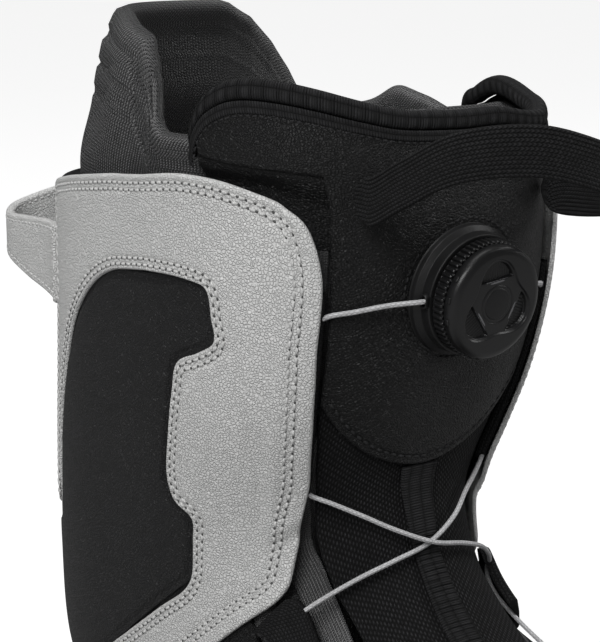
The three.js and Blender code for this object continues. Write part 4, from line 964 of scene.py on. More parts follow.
def make_flaps():
    """The shield's lower wings, where the leather turns in and hangs down inside the shell."""
    for side, word in SIDES:
        s, r = edge_spaced(46, 0.3)[:, None], edge_spaced(64, 0.3)[None, :]
        base_q = 0.172 + 0.225 * r
        low = 14.55 + 0.5 * smooth_step(0.2, 0.3, base_q)
        high = np.interp(base_q, WING_ROWS[:, 1], WING_ROWS[:, 0]) + 0.05
        p = low + (high - low) * s
        q = side * base_q + 0 * p
        q = wing_reach(q)
        level = -3.1 + 3.8 * smooth_step(0.52, 0.93, s) * smooth_step(0.172, 0.2, base_q)
        level = level + 0.0 * p
        rings, _ = laid_sheet(p, q, level - 0.9, level, 0.6)
        add_piece(ring_mesh(word + "_tongue_flap", rings, fold=True), "tongue",
            [finish("smooth black leather")], ())


def make_collar():
    """The rolled edge of the shell's padded collar round the back, over the top of the quarters."""
    q = np.linspace(0.56, 1.44, 420)
    fold = np.where(q > 1, q - 2, q)
    p = station_at(SHELL_TOP, fold, 12.0, 16.9)
    run = np.linspace(0, 1, 420)
    a = np.linspace(0, 2 * np.pi, 20, endpoint=False)[None, :]
    size = (2.5 * np.sqrt(np.clip(np.minimum(run, 1 - run) / 0.01, 0, 1)))[:, None]
    rings = surf(p[:, None] + 0.02 + size * np.cos(a) / 38, fold[:, None], -0.6 + size * np.sin(a))
    add_piece(ring_mesh("shell_collar", rings), "shell", [finish("ribbed tape")], ())


def make_web():
    """The centre web: flat weave above, and ribs across it below, as a wave of its level along its length."""
    s = np.linspace(0, 1, 460)[:, None]
    p = np.broadcast_to(5.0 + 4.72 * s, (460, 26))
    half = 0.0265 + 0.004 * smooth_step(7, 5, p)
    q = half * (2 * edge_spaced(26, 0.5)[None, :] - 1)
    middle = surf(p, q, 1.3 + 0 * p)
    run = np.concatenate([[0], np.cumsum(np.linalg.norm(np.diff(middle[:, 13], axis=0), axis=1))])[:, None]
    ribbed = smooth_step(7.75, 7.5, p) * smooth_step(0.98, 0.8, np.abs(q) / half)
    wave = 0.75 * ribbed * (np.abs(np.sin(np.pi * run / 1.75)) ** 0.8 - 0.75)
    rings, _ = laid_sheet(p, q, 0.5, 1.55, 0.7, lift=wave)
    add_piece(ring_mesh("tongue_web", rings, fold=True), "tongue", [finish("ribbed tape")], ["tongue_web"])


def top_line_rows(count):
    """The tongue's top edge from its lateral end to its medial end, evenly stepped, as p and q."""
    half = spline(TOP_EDGE, np.linspace(0, len(TOP_EDGE) - 1, 400))
    line = np.concatenate([half * [1, -1], half[::-1][1:]])
    line = np.stack([line[:, 0] - wing_drop(line[:, 1]), wing_reach(line[:, 1])], 1)
    run = np.concatenate([[0], np.cumsum(np.linalg.norm(np.diff(form_point(line[:, 0], line[:, 1]), axis=0),
        axis=1))])
    even = np.linspace(0, run[-1], count)
    return np.interp(even, run, line[:, 0]), np.interp(even, run, line[:, 1]), even


def make_binding(sizes):
    """The binding: a rounded section carried along the top edge, its thickness waved by ribs across it,
    with a flat tape below it and a chain of short stitches along the tape."""
    p, q, run = top_line_rows(1500)
    a = np.linspace(0, 2 * np.pi, 22, endpoint=False)[None, :]
    rise = 0.08 + 0.085 * np.sign(np.cos(a)) * np.abs(np.cos(a)) ** 0.7
    rib = 1 + 0.05 * np.sin(2 * np.pi * run / 0.95)[:, None]
    level = -0.65 + 3.05 * rib * np.sign(np.sin(a)) * np.abs(np.sin(a)) ** 0.75
    ends = smooth_step(0, 4, run)[:, None] * smooth_step(run[-1], run[-1] - 4, run)[:, None]
    level = -0.65 + (level + 0.65) * (0.55 + 0.45 * ends)
    rings = surf(p[:, None] + rise, q[:, None] + 0 * rise, level)
    add_piece(ring_mesh("tongue_binding", rings), "tongue", [finish("ribbed tape")], ["tongue_binding"])
    count = 760
    p, q, _ = top_line_rows(count)
    shares = edge_spaced(9, 0.5)[None, :]
    tape_p = p[:, None] - 0.105 + 0.1 * shares
    tape_q = q[:, None] * (1 - 0.012 * (1 - shares))
    wave = 0.1 * np.abs(np.sin(np.pi * np.arange(count) * 0.42))[:, None]
    rings, _ = laid_sheet(tape_p, tape_q, 1.5, 2.15, 0.5, lift=wave)
    add_piece(ring_mesh("tongue_binding_tape", rings, fold=True), "tongue", [finish("ribbed tape")], ())
    rows = [stitch_row(p - 0.12, q * 0.985, SHIELD_OUT + 0.05)]
    sew("tongue_binding_stitches", rows, sizes, "tongue", finish("black thread"), scale=0.75)


# ======== Liner ========
def liner_top(q, level):
    """Station of the liner's top line: the lower of its side view line and its rear view line."""
    def above_line(p):
        point = surf(p, q, np.full(np.shape(p), level))
        line = np.minimum(line_height(LINER_TOP, point[..., 1]), line_height(LINER_MEDIAL_TOP, point[..., 0]))
        return point[..., 2] - line - 7.0 * groove(q, 0.52, 0.04)
    return bisect(above_line, np.full(np.shape(q), 14.5), np.full(np.shape(q), 17.0))


def make_liner():
    """The liner: a padded sock open in front, its top line rolled over, quilted in bands behind,
    with its columns gathered where the top line climbs."""
    level = (LINER_OUT + LINER_IN) / 2
    even = np.linspace(0.12, 1.88, 900)
    crest = surf(liner_top(even, level), even, np.full(900, level))
    run = np.concatenate([[0], np.cumsum(np.linalg.norm(np.diff(crest, axis=0), axis=1))])
    cols, low_rows, high_rows = 340, 36, 66
    around = (np.interp(np.linspace(0, run[-1], cols), run, even) - 0.12) / 1.76
    rise = np.concatenate([np.linspace(0, 0.80, low_rows, endpoint=False), 0.80 + 0.20 * np.linspace(0, 1,
        high_rows) ** 0.85])[:, None]
    q = np.broadcast_to(0.12 + 1.76 * around[None, :], (len(rise), cols))
    for _ in range(3):
        p = 0.05 + (liner_top(q[-1], level) - 0.05) * rise
        half_width = 30.0 * smooth_step(5.9, 6.8, p[:, :1])
        gap = bisect(lambda g: np.abs(surf(p[:, :1], g, np.full(g.shape, level))[..., 0]) - half_width,
                     np.zeros((len(rise), 1)), np.full((len(rise), 1), 0.4))
        q = gap + (2 - 2 * gap) * around[None, :]
    middle = surf(p, q, np.full(p.shape, level))
    clear = edge_distance(middle, [middle[-1], middle[:, 0], middle[:, -1]])
    half = (LINER_OUT - LINER_IN) / 2
    thick = half * round_over(clear, 3.4)
    behind = smooth_step(72, 84, middle[..., 1]) * smooth_step(8.5, 10.5, clear)
    seams = sum(groove(middle[..., 2], z, 0.9) for z in (287.5, 278.5, 269.5)) * behind
    seams = np.minimum(seams + groove(clear, 9.0, 0.8) * smooth_step(250, 258, middle[..., 2]), 1)
    puff = 0.7 * (1 - np.exp(-clear / 5)) * smooth_step(240, 256, middle[..., 2])
    lean = 4.5 * smooth_step(244, 268, middle[..., 2]) * smooth_step(70, 100, middle[..., 1])
    level = level - lean - 3.0 * smooth_step(284, 299, middle[..., 2])
    outer = level + thick + puff * 0.5 - 1.1 * seams + 0.25 * ripple(middle, 24, 11) * np.minimum(clear / 4,
        1)
    inner = level - thick - 0.4 * ripple(middle, 31, 12) * np.minimum(clear / 4, 1)
    rings = sheet_rings(surf(p, q, outer), surf(p, q, inner))
    mesh = ring_mesh("liner_shell", rings, fold=True, finish_of=lambda i, j: (j >= cols).astype(int))
    add_piece(mesh, "shell", [finish("liner knit"), finish("lining fleece")], ["liner_shell"])


def make_liner_tongue():
    """The liner's own tongue: a padded strip, crowned across and rolled over at the top."""
    s, shares = edge_spaced(110, 0.3)[:, None], edge_spaced(44, 0.7)[None, :]
    p = np.broadcast_to(8.6 + 7.62 * s, (110, 44))
    q = 0.121 * (2 * shares - 1) + 0 * p
    level = (LINER_OUT + LINER_IN) / 2
    middle = surf(p, q, np.full(p.shape, level))
    clear = edge_distance(middle, [middle[0], middle[-1], middle[:, 0], middle[:, -1]])
    thick = 3.1 * round_over(clear, 4.5)
    outer = level + thick - 0.6 * groove(clear, 7.5, 0.9) + 0.3 * ripple(middle, 22, 14) * np.minimum(clear
        / 4, 1)
    inner = level - thick - 0.6 * groove(clear, 7.5, 0.9)
    rings = sheet_rings(surf(p, q, outer), surf(p, q, inner))
    add_piece(ring_mesh("liner_tongue", rings, fold=True), "shell", [finish("liner knit")], ["liner_tongue"])


def make_footbed():
    """The footbed: the form's own outline at its height, cupped up at the edge."""
    y = np.linspace(-121, 119, 130)[:, None]
    half = np.interp(y, [-121, -112, -95, -60, -20, 30, 80, 105, 119], [8, 24, 36, 41, 38, 34, 34, 27, 8])
    share = 2 * edge_spaced(44, 0.5)[None, :] - 1
    x = 1 + half * share
    y = np.broadcast_to(y, x.shape)
    edge = edge_distance(np.stack([x, y, 0 * x], -1), [np.stack([1 + half[:, 0] * k, y[:, 0], 0 * y[:, 0]],
        -1) for k in (-1, 1)])
    cup = 2.6 * np.exp(-edge / 4)
    base, top = 33.2 + 0.8 * cup / 2.6, 37.0 + 0.0 * x + cup + 0.6 * np.exp(-(((y + 10) / 40) ** 2)) * (x
        / 40)
    top = base + (top - base) * round_over(edge + 0.6, 2.0)
    rings = sheet_rings(np.stack([x, y, top], -1), np.stack([x, y, base], -1))
    add_piece(ring_mesh("footbed", rings, fold=True), "shell", [finish("lining fleece")], ["footbed"])


# ======== Guides, straps and lace ========
def folded_guide(name, ribs, low, roof, wall, node_name):
    """A guide folded round the lace: a channel section carried along the ribs, open underneath."""
    ribs = even_ribs(ribs, 90)
    width = np.mean(np.linalg.norm(form_point(ribs[:, 0], ribs[:, 1]) - form_point(ribs[:, 2], ribs[:, 3]),
        axis=1))
    w = wall / width
    section = [(0, low), (0, roof - 1.3), (0.3 * w, roof - 0.5), (1.3 * w, roof), (0.5, roof + 0.12),
        (1 - 1.3 * w, roof),
               (1 - 0.3 * w, roof - 0.5), (1, roof - 1.3), (1, low), (1 - w, low), (1 - w, roof - wall - 0.7),
               (1 - 1.8 * w, roof - wall), (0.5, roof - wall + 0.1), (1.8 * w, roof - wall),
               (w, roof - wall - 0.7), (w, low)]
    section = fillet(np.array([(x * width, z) for x, z in section + section[:1]]), 0.5, 3)[:-1]
    across, level = section[:, 0] / width, section[:, 1]
    p = ribs[:, :1] + (ribs[:, 2:3] - ribs[:, :1]) * across
    q = ribs[:, 1:2] + (ribs[:, 3:4] - ribs[:, 1:2]) * across
    rings = surf(p, q, np.broadcast_to(level, p.shape))
    add_piece(ring_mesh(name, rings), "shell", [finish("woven webbing")], [node_name])
    sp = ribs[:, 0] + (ribs[:, 2] - ribs[:, 0]) * (1 - 1.1 * w)
    sq = ribs[:, 1] + (ribs[:, 3] - ribs[:, 1]) * (1 - 1.1 * w)
    return stitch_row(sp, sq, roof - 0.02)


def fillet(points, radius, steps):
    """A polyline whose corners are cut back by a radius and rounded by quadratic curves."""
    before, corner, after = points[:-2], points[1:-1], points[2:]
    reach = lambda a, b: np.minimum(radius, 0.45 * np.linalg.norm(b - a, axis=1))[:,
        None] * (b - a) / np.maximum(
        np.linalg.norm(b - a, axis=1)[:, None], 1e-9)
    start, end = corner + reach(corner, before), corner + reach(corner, after)
    t = np.linspace(0, 1, steps)[None, :, None]
    arcs = (1 - t) ** 2 * start[:, None] + 2 * t * (1 - t) * corner[:, None] + t**2 * end[:, None]
    return np.concatenate([points[:1], arcs.reshape(-1, points.shape[1]), points[-1:]])


def make_guides(side, word, sizes):
    strip = lambda edge, depth: mirrored(np.column_stack([edge, edge[:, 0], edge[:, 1] + depth]), -side)
    rows = [folded_guide(word + "_edge_guide", strip(EDGE_GUIDE, 0.05), 0.3, 3.3, 0.65, word + "_edge_guide"),
            folded_guide(word + "_instep_guide", strip(INSTEP_GUIDE, 0.075), 2.5, 6.1, 0.7,
                word + "_instep_guide"),
            folded_guide(word + "_toe_guide", strip(TOE_GUIDE, 0.06), 2.5, 6.1, 0.7, word + "_toe_guide")]
    sew(word + "_guide_stitches", rows, sizes, "shell", finish("black thread"), scale=0.8)


def strap_rings(path, thick, count, cols, end_round, height=None):
    """A strap: its lower and upper edges as curves through the path, its two faces half the thickness
    either side of the ruled surface between them, rounded at the edges."""
    t = np.linspace(0, 1, count)
    low, high = chord_spline(path[:, [0, 1, 2]], t), chord_spline(path[:, [0, 1, 3]], t)
    along = np.gradient(low, axis=0) * [1, 1, 0]
    along /= np.linalg.norm(along, axis=1, keepdims=True)
    out = np.stack([along[:, 1], -along[:, 0], 0 * along[:, 0]], 1)
    w = edge_spaced(cols, 0.5)
    width = np.linalg.norm(high - low, axis=1)[:, None]
    clear = np.minimum(w, 1 - w)[None, :] * width
    half = thick / 2 * (0.25 + 0.75 * round_over(clear, end_round))
    if height is not None:
        half = half + height(w, clear,
            np.concatenate([[0], np.cumsum(np.linalg.norm(np.diff(low, axis=0), axis=1))])[:, None])
    middle = low[:, None] + (high - low)[:, None] * w[None, :, None]
    return sheet_rings(middle + half[..., None] * out[:, None], middle - half[..., None] * out[:,
        None]), middle, out


def make_rear_loop(sizes):
    path = np.concatenate([REAR_LOOP_HALF, REAR_LOOP_HALF[:-1][::-1] * [-1, 1, 1, 1]])
    dip = lambda w, clear, run: -0.22 * groove(clear, 2.3, 0.7)
    rings, middle, out = strap_rings(path, 3.2, 320, 36, 1.3, dip)
    cols = middle.shape[1]
    mesh = ring_mesh("rear_loop", rings, fold=True, finish_of=lambda i, j: (j >= cols).astype(int))
    add_piece(mesh, "shell", [finish("white leather"), finish("white leather")], ["rear_loop"])
    rows = []
    for face in (1, -1):
        for edge in (0, -1):
            inward = middle[:, 18] - middle[:, edge]
            inward *= 2.3 / np.linalg.norm(inward, axis=1, keepdims=True)
            rows.append((middle[:, edge] + inward + face * 1.42 * out, face * out))
    sew("rear_loop_stitches", rows, sizes, "shell", finish("white thread"))


def make_front_loop(sizes):
    """The pull loop: webbing whose faces carry eleven ribs across, each beaded along its length."""
    def ribs(w, clear, run):
        across = 0.5 - 0.5 * np.cos(2 * np.pi * 11 * w)[None, :]
        beads = 0.75 + 0.25 * np.cos(2 * np.pi * (run / 1.5 + 0.5 * np.floor(11 * w)[None, :]))
        return 0.17 * across * beads * np.minimum(clear / 1.0, 1) - 0.08
    rings, _, _ = strap_rings(FRONT_LOOP, sizes.webbing_thickness * 1000, 520, 67, 0.9, ribs)
    add_piece(ring_mesh("front_loop", rings, fold=True), "front_loop", [finish("woven webbing")],
        ["front_loop"])


def lace_points():
    """The lace's route as the CAD gives it: from one side of the spool, through every guide, to the other
    side."""
    place = lambda rows, side: surf(rows[:, 0], side * rows[:, 1], rows[:, 2])
    port = lambda side: dial_place(np.array([[side * x, 0, LACE_PORT] for x in (7.9, 12, 16, 19.5)]))
    cross = lambda level: surf(np.array([7.4]), np.array([0.0]), np.array([level]))
    first = [port(-1), place(LACE_SIDE, -1), cross(5.0), place(LACE_FAR_SIDE, 1)]
    second = [port(1), place(LACE_SIDE, 1), cross(2.9), place(LACE_FAR_SIDE, -1)]
    low = surf(np.array([4.58]), np.array([0.0]), np.array([3.0]))
    return np.concatenate([*first, low, np.concatenate(second)[::-1]])


def add_bending(mesh, finishes, stands_for):
    """A soft piece on one side of the boot, linked into the scene with its finishes and its transform baked,
    in place of the named parts."""
    piece = bpy.data.objects.new(mesh.name, mesh)
    bpy.context.scene.collection.objects.link(piece)
    for finish_used in finishes:
        mesh.materials.append(finish_used)
    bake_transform(piece)
    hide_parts(*stands_for)


def make_lace(sizes):
    """The lace: a round cord carried along its route, its radius waved by the plait, in parts for each side
    of the boot, split where it crosses the middle."""
    pts = lace_points()
    fine = chord_spline(pts, np.linspace(0, 1, 6000))
    run = np.concatenate([[0], np.cumsum(np.linalg.norm(np.diff(fine, axis=0), axis=1))])
    even = np.linspace(0, run[-1], int(run[-1] / 0.55))
    centre = np.stack([np.interp(even, run, fine[:, c]) for c in range(3)], 1)
    along = np.gradient(centre, axis=0)
    along /= np.linalg.norm(along, axis=1, keepdims=True)
    outward = centre - [0, 62, 70]
    aside = np.cross(along, outward)
    aside /= np.linalg.norm(aside, axis=1, keepdims=True)
    up = np.cross(aside, along)
    a = np.linspace(0, 2 * np.pi, 12, endpoint=False)
    plait = 1 + 0.05 * np.cos(3 * a[None, :] - even[:, None] * 2 * np.pi / 3.1) * np.cos(3 * a[None, :]
        + even[:, None] * 2 * np.pi / 3.1)
    radius = sizes.lace_width * 500 * plait
    rings = centre[:, None] + radius[..., None] * (np.cos(a)[:, None] * aside[:, None] + np.sin(a)[:, None]
        * up[:, None])
    breaks = np.nonzero(np.diff(np.sign(centre[:, 0] + 1e-9)))[0] + 1
    spans = [s for s in np.split(np.arange(len(centre)), breaks) if len(s) > 30]
    for side, word in ((-1, "lateral"), (1, "medial")):
        runs = [s for s in spans if np.sign(centre[s].mean(0)[0]) == side]
        for number, s in enumerate(runs, 1):
            mesh = ring_mesh(f"lace_{word}_{number}", rings[s[0]:s[-1] + 2])
            add_bending(mesh, [finish("braided lace")], ["lace"])


# ======== Dial ========
def dial_place(points):
    """Points of the dial's own frame, x across, y up the tongue and z outwards, in the boot's frame."""
    axis = DIAL_AXIS / np.linalg.norm(DIAL_AXIS)
    up = np.cross(axis, [1.0, 0, 0])
    points = np.asarray(points, float)
    return DIAL_ORIGIN + points[..., :1] * [1.0, 0, 0] + points[..., 1:2] * up + points[..., 2:] * axis


def turned_rings(profile, sides, start=0.0):
    """Rings of a turned shape: a profile of radius and height carried once round the dial's axis."""
    a = start + np.linspace(0, 2 * np.pi, sides, endpoint=False)[:, None]
    r, z = profile[..., 0], profile[..., 1]
    return np.stack([r * np.cos(a), r * np.sin(a), z + 0 * a], -1)


def rounded_profile(corners, radius=0.35, steps=6, gap=0.8):
    """A closed profile of radius and height, its corners rounded and its long runs split."""
    points = np.array(corners, float)
    points = fillet(np.concatenate([points[-1:], points, points[:2]]), radius, steps)[1:-1]
    points = points[:-steps]
    closed = np.concatenate([points, points[:1]])
    run = np.concatenate([[0], np.cumsum(np.linalg.norm(np.diff(closed, axis=0), axis=1))])
    extra = [np.arange(a + gap, b - gap / 2, gap) for a, b in zip(run[:-1], run[1:]) if b - a > 1.5 * gap]
    at = np.unique(np.round(np.concatenate([run[:-1], *extra]), 5)) if extra else run[:-1]
    return np.stack([np.interp(at, run, closed[:, k]) for k in (0, 1)], 1)


def leather_height(x, y):
    """Height of the tongue's leather in the dial's frame under a point x y of it, from the eight nearest
    points of a grid laid over the leather."""
    grid_p, grid_q = np.meshgrid(np.linspace(12.1, 15.4, 120), np.linspace(-0.14, 0.14, 90), indexing="ij")
    points = surf(grid_p, grid_q, np.full(grid_p.shape, SHIELD_OUT)) - DIAL_ORIGIN
    axis = DIAL_AXIS / np.linalg.norm(DIAL_AXIS)
    up = np.cross(axis, [1.0, 0, 0])
    local = np.stack([points[..., 0], points @ up, points @ axis], -1).reshape(-1, 3)
    target = np.stack([x, y], -1).reshape(-1, 2)
    near = np.argpartition(np.sum((target[:, None] - local[None, :, :2]) ** 2, -1), 8, axis=1)[:, :8]
    weight = 1 / (np.sum((target[:, None] - local[near][..., :2]) ** 2, -1) + 0.02)
    return (np.sum(local[near][..., 2] * weight, 1) / weight.sum(1)).reshape(np.shape(x))


def make_dial_base(sizes):
    """The dial's base: a flange that follows the leather, a collar, and a round port for the lace each
    side."""
    profile = rounded_profile([[12.2, 7.9], [13.7, 7.9], [13.9, 5.5], [18.0, 5.5], [18.25, 5.2], [18.4, 2.0],
        [19.75, 1.3],
                               [19.95, 0.0], [19.95, -0.6], [12.2, -0.6]], 0.3)
    rings = turned_rings(profile, 160)
    under = leather_height(rings[..., 0], rings[..., 1]) + 0.12
    drop = under - under.max()
    low = rings[..., 2] < 1.6
    rings[..., 2] = np.where(rings[..., 2] < 0.1, under, rings[..., 2] + np.where(low, 0.75 * drop, 0))
    add_piece(ring_mesh("dial_base", dial_place(rings), whole=True), "tongue", [finish("satin plastic")],
        ["dial_base"])
    for side, word in ((-1, "lateral"), (1, "medial")):
        a = np.linspace(0, 2 * np.pi, 28, endpoint=False)
        ring_x = np.array([16.6, 19.3, 19.6, 19.5, 19.2, 18.6, 16.6])
        ring_r = np.array([2.0, 1.75, 1.55, 1.3, 1.15, 1.1, 1.1])
        tube = np.stack([side * ring_x[:, None] + 0 * a, ring_r[:, None] * 1.25 * np.cos(a),
            LACE_PORT + ring_r[:, None] * np.sin(a)], -1)
        tube[..., 2] = np.minimum(tube[..., 2], 5.45)
        tube = np.moveaxis(tube, 0, 1)
        add_piece(ring_mesh(word + "_lace_port", dial_place(tube), whole=True), "tongue",
            [finish("satin plastic")], ())
    a = np.linspace(0, 2 * np.pi, 400)
    ring = np.stack([21.3 * np.cos(a), 21.3 * np.sin(a)], 1)
    ring = np.concatenate([ring, leather_height(ring[:, 0], ring[:, 1])[:, None] + 0.1], 1)
    axis = np.broadcast_to(DIAL_AXIS / np.linalg.norm(DIAL_AXIS), (400, 3))
    sew("dial_stitches", [(dial_place(ring), axis)], sizes, "tongue", finish("black thread"),
        scale=0.8)


def make_grip():
    """The knob's grip: a ring whose radius is waved into ribs, with one wider plain block."""
    sides = 960
    a = np.linspace(0, 2 * np.pi, sides, endpoint=False)
    rib = np.clip(0.5 + 1.1 * np.cos(a * 60), 0, 1)
    block = np.exp(-(((a - np.radians(262)) / 0.085) ** 6))
    profile = rounded_profile([[16.3, 5.75], [17.15, 5.75], [17.55, 6.3], [17.6, 9.4], [17.3, 9.95],
        [16.3, 9.95]], 0.2, 4)
    rings = turned_rings(profile, sides)
    reach = np.clip((profile[:, 0] - 16.9) / 0.5, 0, 1)[None, :]
    depth = 0.75 * (1 - np.maximum(rib, block))[:, None] * reach
    out = np.stack([np.cos(a), np.sin(a)], -1)[:, None]
    rings[..., :2] -= depth[..., None] * out
    rings[..., :2] += (0.3 * block[:, None] * reach)[..., None] * out
    add_piece(ring_mesh("knob_grip", dial_place(rings), whole=True), "dial_knob", [finish("dial plastic")],
        ["knob_grip"])


def cap_height(x, y):
    """Height of the cap's face: a low dome, less the three-armed recess, less the deeper window at each
    arm's end."""
    r, a = np.hypot(x, y), np.arctan2(y, x)
    dome = 14.75 - 0.45 * (r / 17.0) ** 2 - 0.1 * (r / 17.0) ** 8
    turn = a - CAP_TURN
    third = np.round(turn / (2 * np.pi / 3)) * 2 * np.pi / 3
    along, across = r * np.cos(turn - third), r * np.sin(turn - third)
    edge_r = 11.6 + 2.1 * np.cos(3 * turn)
    recess = smooth_step(0, 0.6, edge_r - r)
    window = smooth_step(0, 0.35, along - 7.2) * smooth_step(0, 0.35, edge_r - 0.9 - r) * smooth_step(0,
        0.35, 6.1 - np.abs(across))
    ribs = 0.16 * np.sin(2 * np.pi * across / 0.9) * window
    ring = groove(r, 5.7, 0.25)
    return dome - 0.6 * recess - 1.15 * window + ribs - 0.25 * ring


def make_cap():
    """The cap: a height field on polar rings, its edge rolled down to a straight skirt."""
    count, sides = 92, 240
    a = np.linspace(0, 2 * np.pi, sides, endpoint=False)[None, :]
    r = np.concatenate([np.linspace(0.4, 14.6, count), [15.2, 15.8, 16.3, 16.7, 16.93, 17.0, 17.0, 16.9,
        16.5, 10.0, 0.4]])[:, None]
    x, y = r * np.cos(a), r * np.sin(a)
    z = cap_height(x, y)
    for k, drop in zip(range(count, count + 7), (0.12, 0.32, 0.62, 1.05, 1.6, 2.3, 4.0)):
        z[k] -= drop
    z[count + 6:count + 9] = np.array([10.75, 10.45, 10.35])[:, None]
    z[count + 9:] = 10.35
    add_piece(ring_mesh("knob_cap", dial_place(np.stack([x, y, z], -1))), "dial_knob",
        [finish("dial plastic")], ["knob_cap"])


def make_knob_details():
    """The centre disc, the grey strips in the recess and the small raised blocks on the skirt."""
    r = np.concatenate([np.linspace(0.3, 4.2, 14), [4.5, 4.72, 4.8, 4.8, 4.6, 0.3]])[:, None]
    a = np.linspace(0, 2 * np.pi, 96, endpoint=False)[None, :]
    z = np.concatenate([14.55 - 0.012 * np.linspace(0.3, 4.2, 14) ** 2, [14.27, 14.12, 13.9, 12.75, 12.6,
        12.6]])[:, None]
    rings = np.stack([r * np.cos(a), r * np.sin(a), z + 0 * a], -1)
    add_piece(ring_mesh("knob_disc", dial_place(rings)), "dial_knob", [finish("satin plastic")],
        ["knob_disc"])
    for number in range(3):
        turn = CAP_TURN + number * 2 * np.pi / 3
        u, v = np.linspace(0, 1, 9)[:, None], np.linspace(-1, 1, 13)[None, :]
        x = 6.0 + 1.25 * u + 0.0 * v
        top = np.stack([x, (4.9 - 0.9 * u) * v, np.full(x.shape, 14.02)], -1)
        top[..., 2] += 0.08 * (1 - v**2) * np.sin(np.pi * u)
        low = top - [0, 0, 0.6]
        c, s = np.cos(turn), np.sin(turn)
        spin = np.array([[c, s, 0], [-s, c, 0], [0, 0, 1]])
        add_piece(ring_mesh(f"knob_strip_{number + 1}", dial_place(sheet_rings(top, low) @ spin), fold=True),
            "dial_knob",
                  [finish("grey strip")], ())
    blocks = []
    a = np.linspace(0, 2 * np.pi, 20, endpoint=False)[None, :]
    box_x = 0.95 * np.sign(np.cos(a)) * np.abs(np.cos(a)) ** 0.35
    box_y = 0.75 * np.sign(np.sin(a)) * np.abs(np.sin(a)) ** 0.35
    lift = np.array([0.9, 1.0, 1.0, 0.86, 0.4])[:, None]
    out = np.array([16.5, 17.05, 17.3, 17.4, 17.42])[:, None]
    for angle in np.radians([150, 172, 194, 262, 330, 352, 14]):
        turn = angle + box_x * lift / 17.0
        blocks.append(np.stack([out * np.cos(turn), out * np.sin(turn), 11.9 + box_y * lift], -1))
    for number, rings in enumerate(blocks, 1):
        add_piece(ring_mesh(f"knob_block_{number}", dial_place(rings)), "dial_knob",
            [finish("dial plastic")], ())


# ======== Sole ========
def outline_points(count):
    """The sole's outline, evenly stepped, and its outward directions."""
    closed = np.concatenate([SOLE_OUTLINE[-2:], SOLE_OUTLINE, SOLE_OUTLINE[:3]])
    fine = spline(closed, np.linspace(2, 2 + len(SOLE_OUTLINE), 3000))
    run = np.concatenate([[0], np.cumsum(np.linalg.norm(np.diff(fine, axis=0), axis=1))])
    even = np.linspace(0, run[-1], count, endpoint=False)
    line = np.stack([np.interp(even, run, fine[:, k]) for k in (0, 1)], 1)
    along = np.roll(line, -1, 0) - np.roll(line, 1, 0)
    out = np.stack([along[:, 1], -along[:, 0]], 1) / np.linalg.norm(along, axis=1)[:, None]
    area = np.sum(line[:, 0] * np.roll(line[:, 1], -1) - line[:, 1] * np.roll(line[:, 0], -1))
    return line, out * np.sign(area)


def outline_rings(offsets, heights, count):
    """Rings of the sole: its outline moved outwards by an offset, at a height that may follow the rim."""
    line, out = outline_points(count)
    rim = line_height(SOLE_RIM, line[:, 1])
    rings = [np.column_stack([line + off * out, np.broadcast_to(h(rim) if callable(h) else h, rim.shape)])
             for off, h in zip(offsets, heights)]
    return np.stack(rings)


def make_outsole():
    """The outsole: columns and rows aligned with the tread's grooves, its underside lifted in each groove."""
    cuts = np.array([-128, -110, -92, -74, -56, -38, 56, 74, 92, 110, 128])
    stops = np.concatenate([cuts + k for k in (-2.9, -2.2, -1.9, 1.9, 2.2, 2.9)])
    y = np.unique(np.round(np.concatenate([stops, np.linspace(-152.4, 150.5, 120)]), 2))
    line, _ = outline_points(1400)
    right, left = line[line[:, 0] > 0], line[line[:, 0] < 0]
    high = np.interp(y, *right[np.argsort(right[:, 1])].T[::-1])
    low = np.interp(y, *left[np.argsort(left[:, 1])].T[::-1])
    shares = np.unique(np.round(np.concatenate([edge_spaced(30, 0.7)] + [[c - 0.026, c - 0.02, c + 0.02,
        c + 0.026] for c in (0.3, 0.7)]), 4))
    x = low[:, None] + (high - low)[:, None] * shares[None, :]
    y2 = np.broadcast_to(y[:, None], x.shape)
    clear = edge_distance(np.stack([x, y2, 0 * x], -1), [np.column_stack([line, 0 * line[:, 0]])])
    cross = np.max([smooth_step(2.9, 2.0, np.abs(y2 - c)) for c in cuts], 0)
    length = np.max([smooth_step(0.026, 0.02, np.abs(shares - c)) for c in (0.3, 0.7)], 0)[None, :]
    length = length * ((y2 < -32) | (y2 > 50))
    under = 3.0 * np.maximum(cross, length) + 1.2 * (1 - round_over(clear, 3))
    top = 9.0 - 0.0 * x
    rings = sheet_rings(np.stack([x, y2, top], -1), np.stack([x, y2, under], -1))
    add_piece(ring_mesh("outsole", rings, fold=True), "shell", [finish("sole rubber")], ["outsole"])


def make_midsole():
    """The midsole: bulged walls with a foxing line, a rounded lip that follows the rim, and a dished
    inside."""
    rim = lambda share, drop=0.0: (lambda r: 9.3 + (r - 9.3 - drop) * share)
    offsets = [0.2, 1.0, 1.35, 1.0, 0.25, 0.95, 1.0, 0.7, 0.2, -0.3, -0.6, -1.0, -1.8, -2.8, -3.6, -4.4,
        -4.9, -5.2, -7, -14, -26, -38]
    heights = [9.3, 9.8, 11.2, 13.6, 14.3, 15.0, rim(0.34), rim(0.55), rim(0.75), rim(0.9), rim(0.96),
        rim(0.99), rim(1.0),
               rim(0.995), rim(0.97), rim(0.9), rim(0.7), rim(0.5), 22.0, 20.6, 20.0, 19.8]
    rings = outline_rings(offsets, heights, 420)
    add_piece(ring_mesh("midsole", rings), "shell", [finish("sole foam")], ["midsole"])


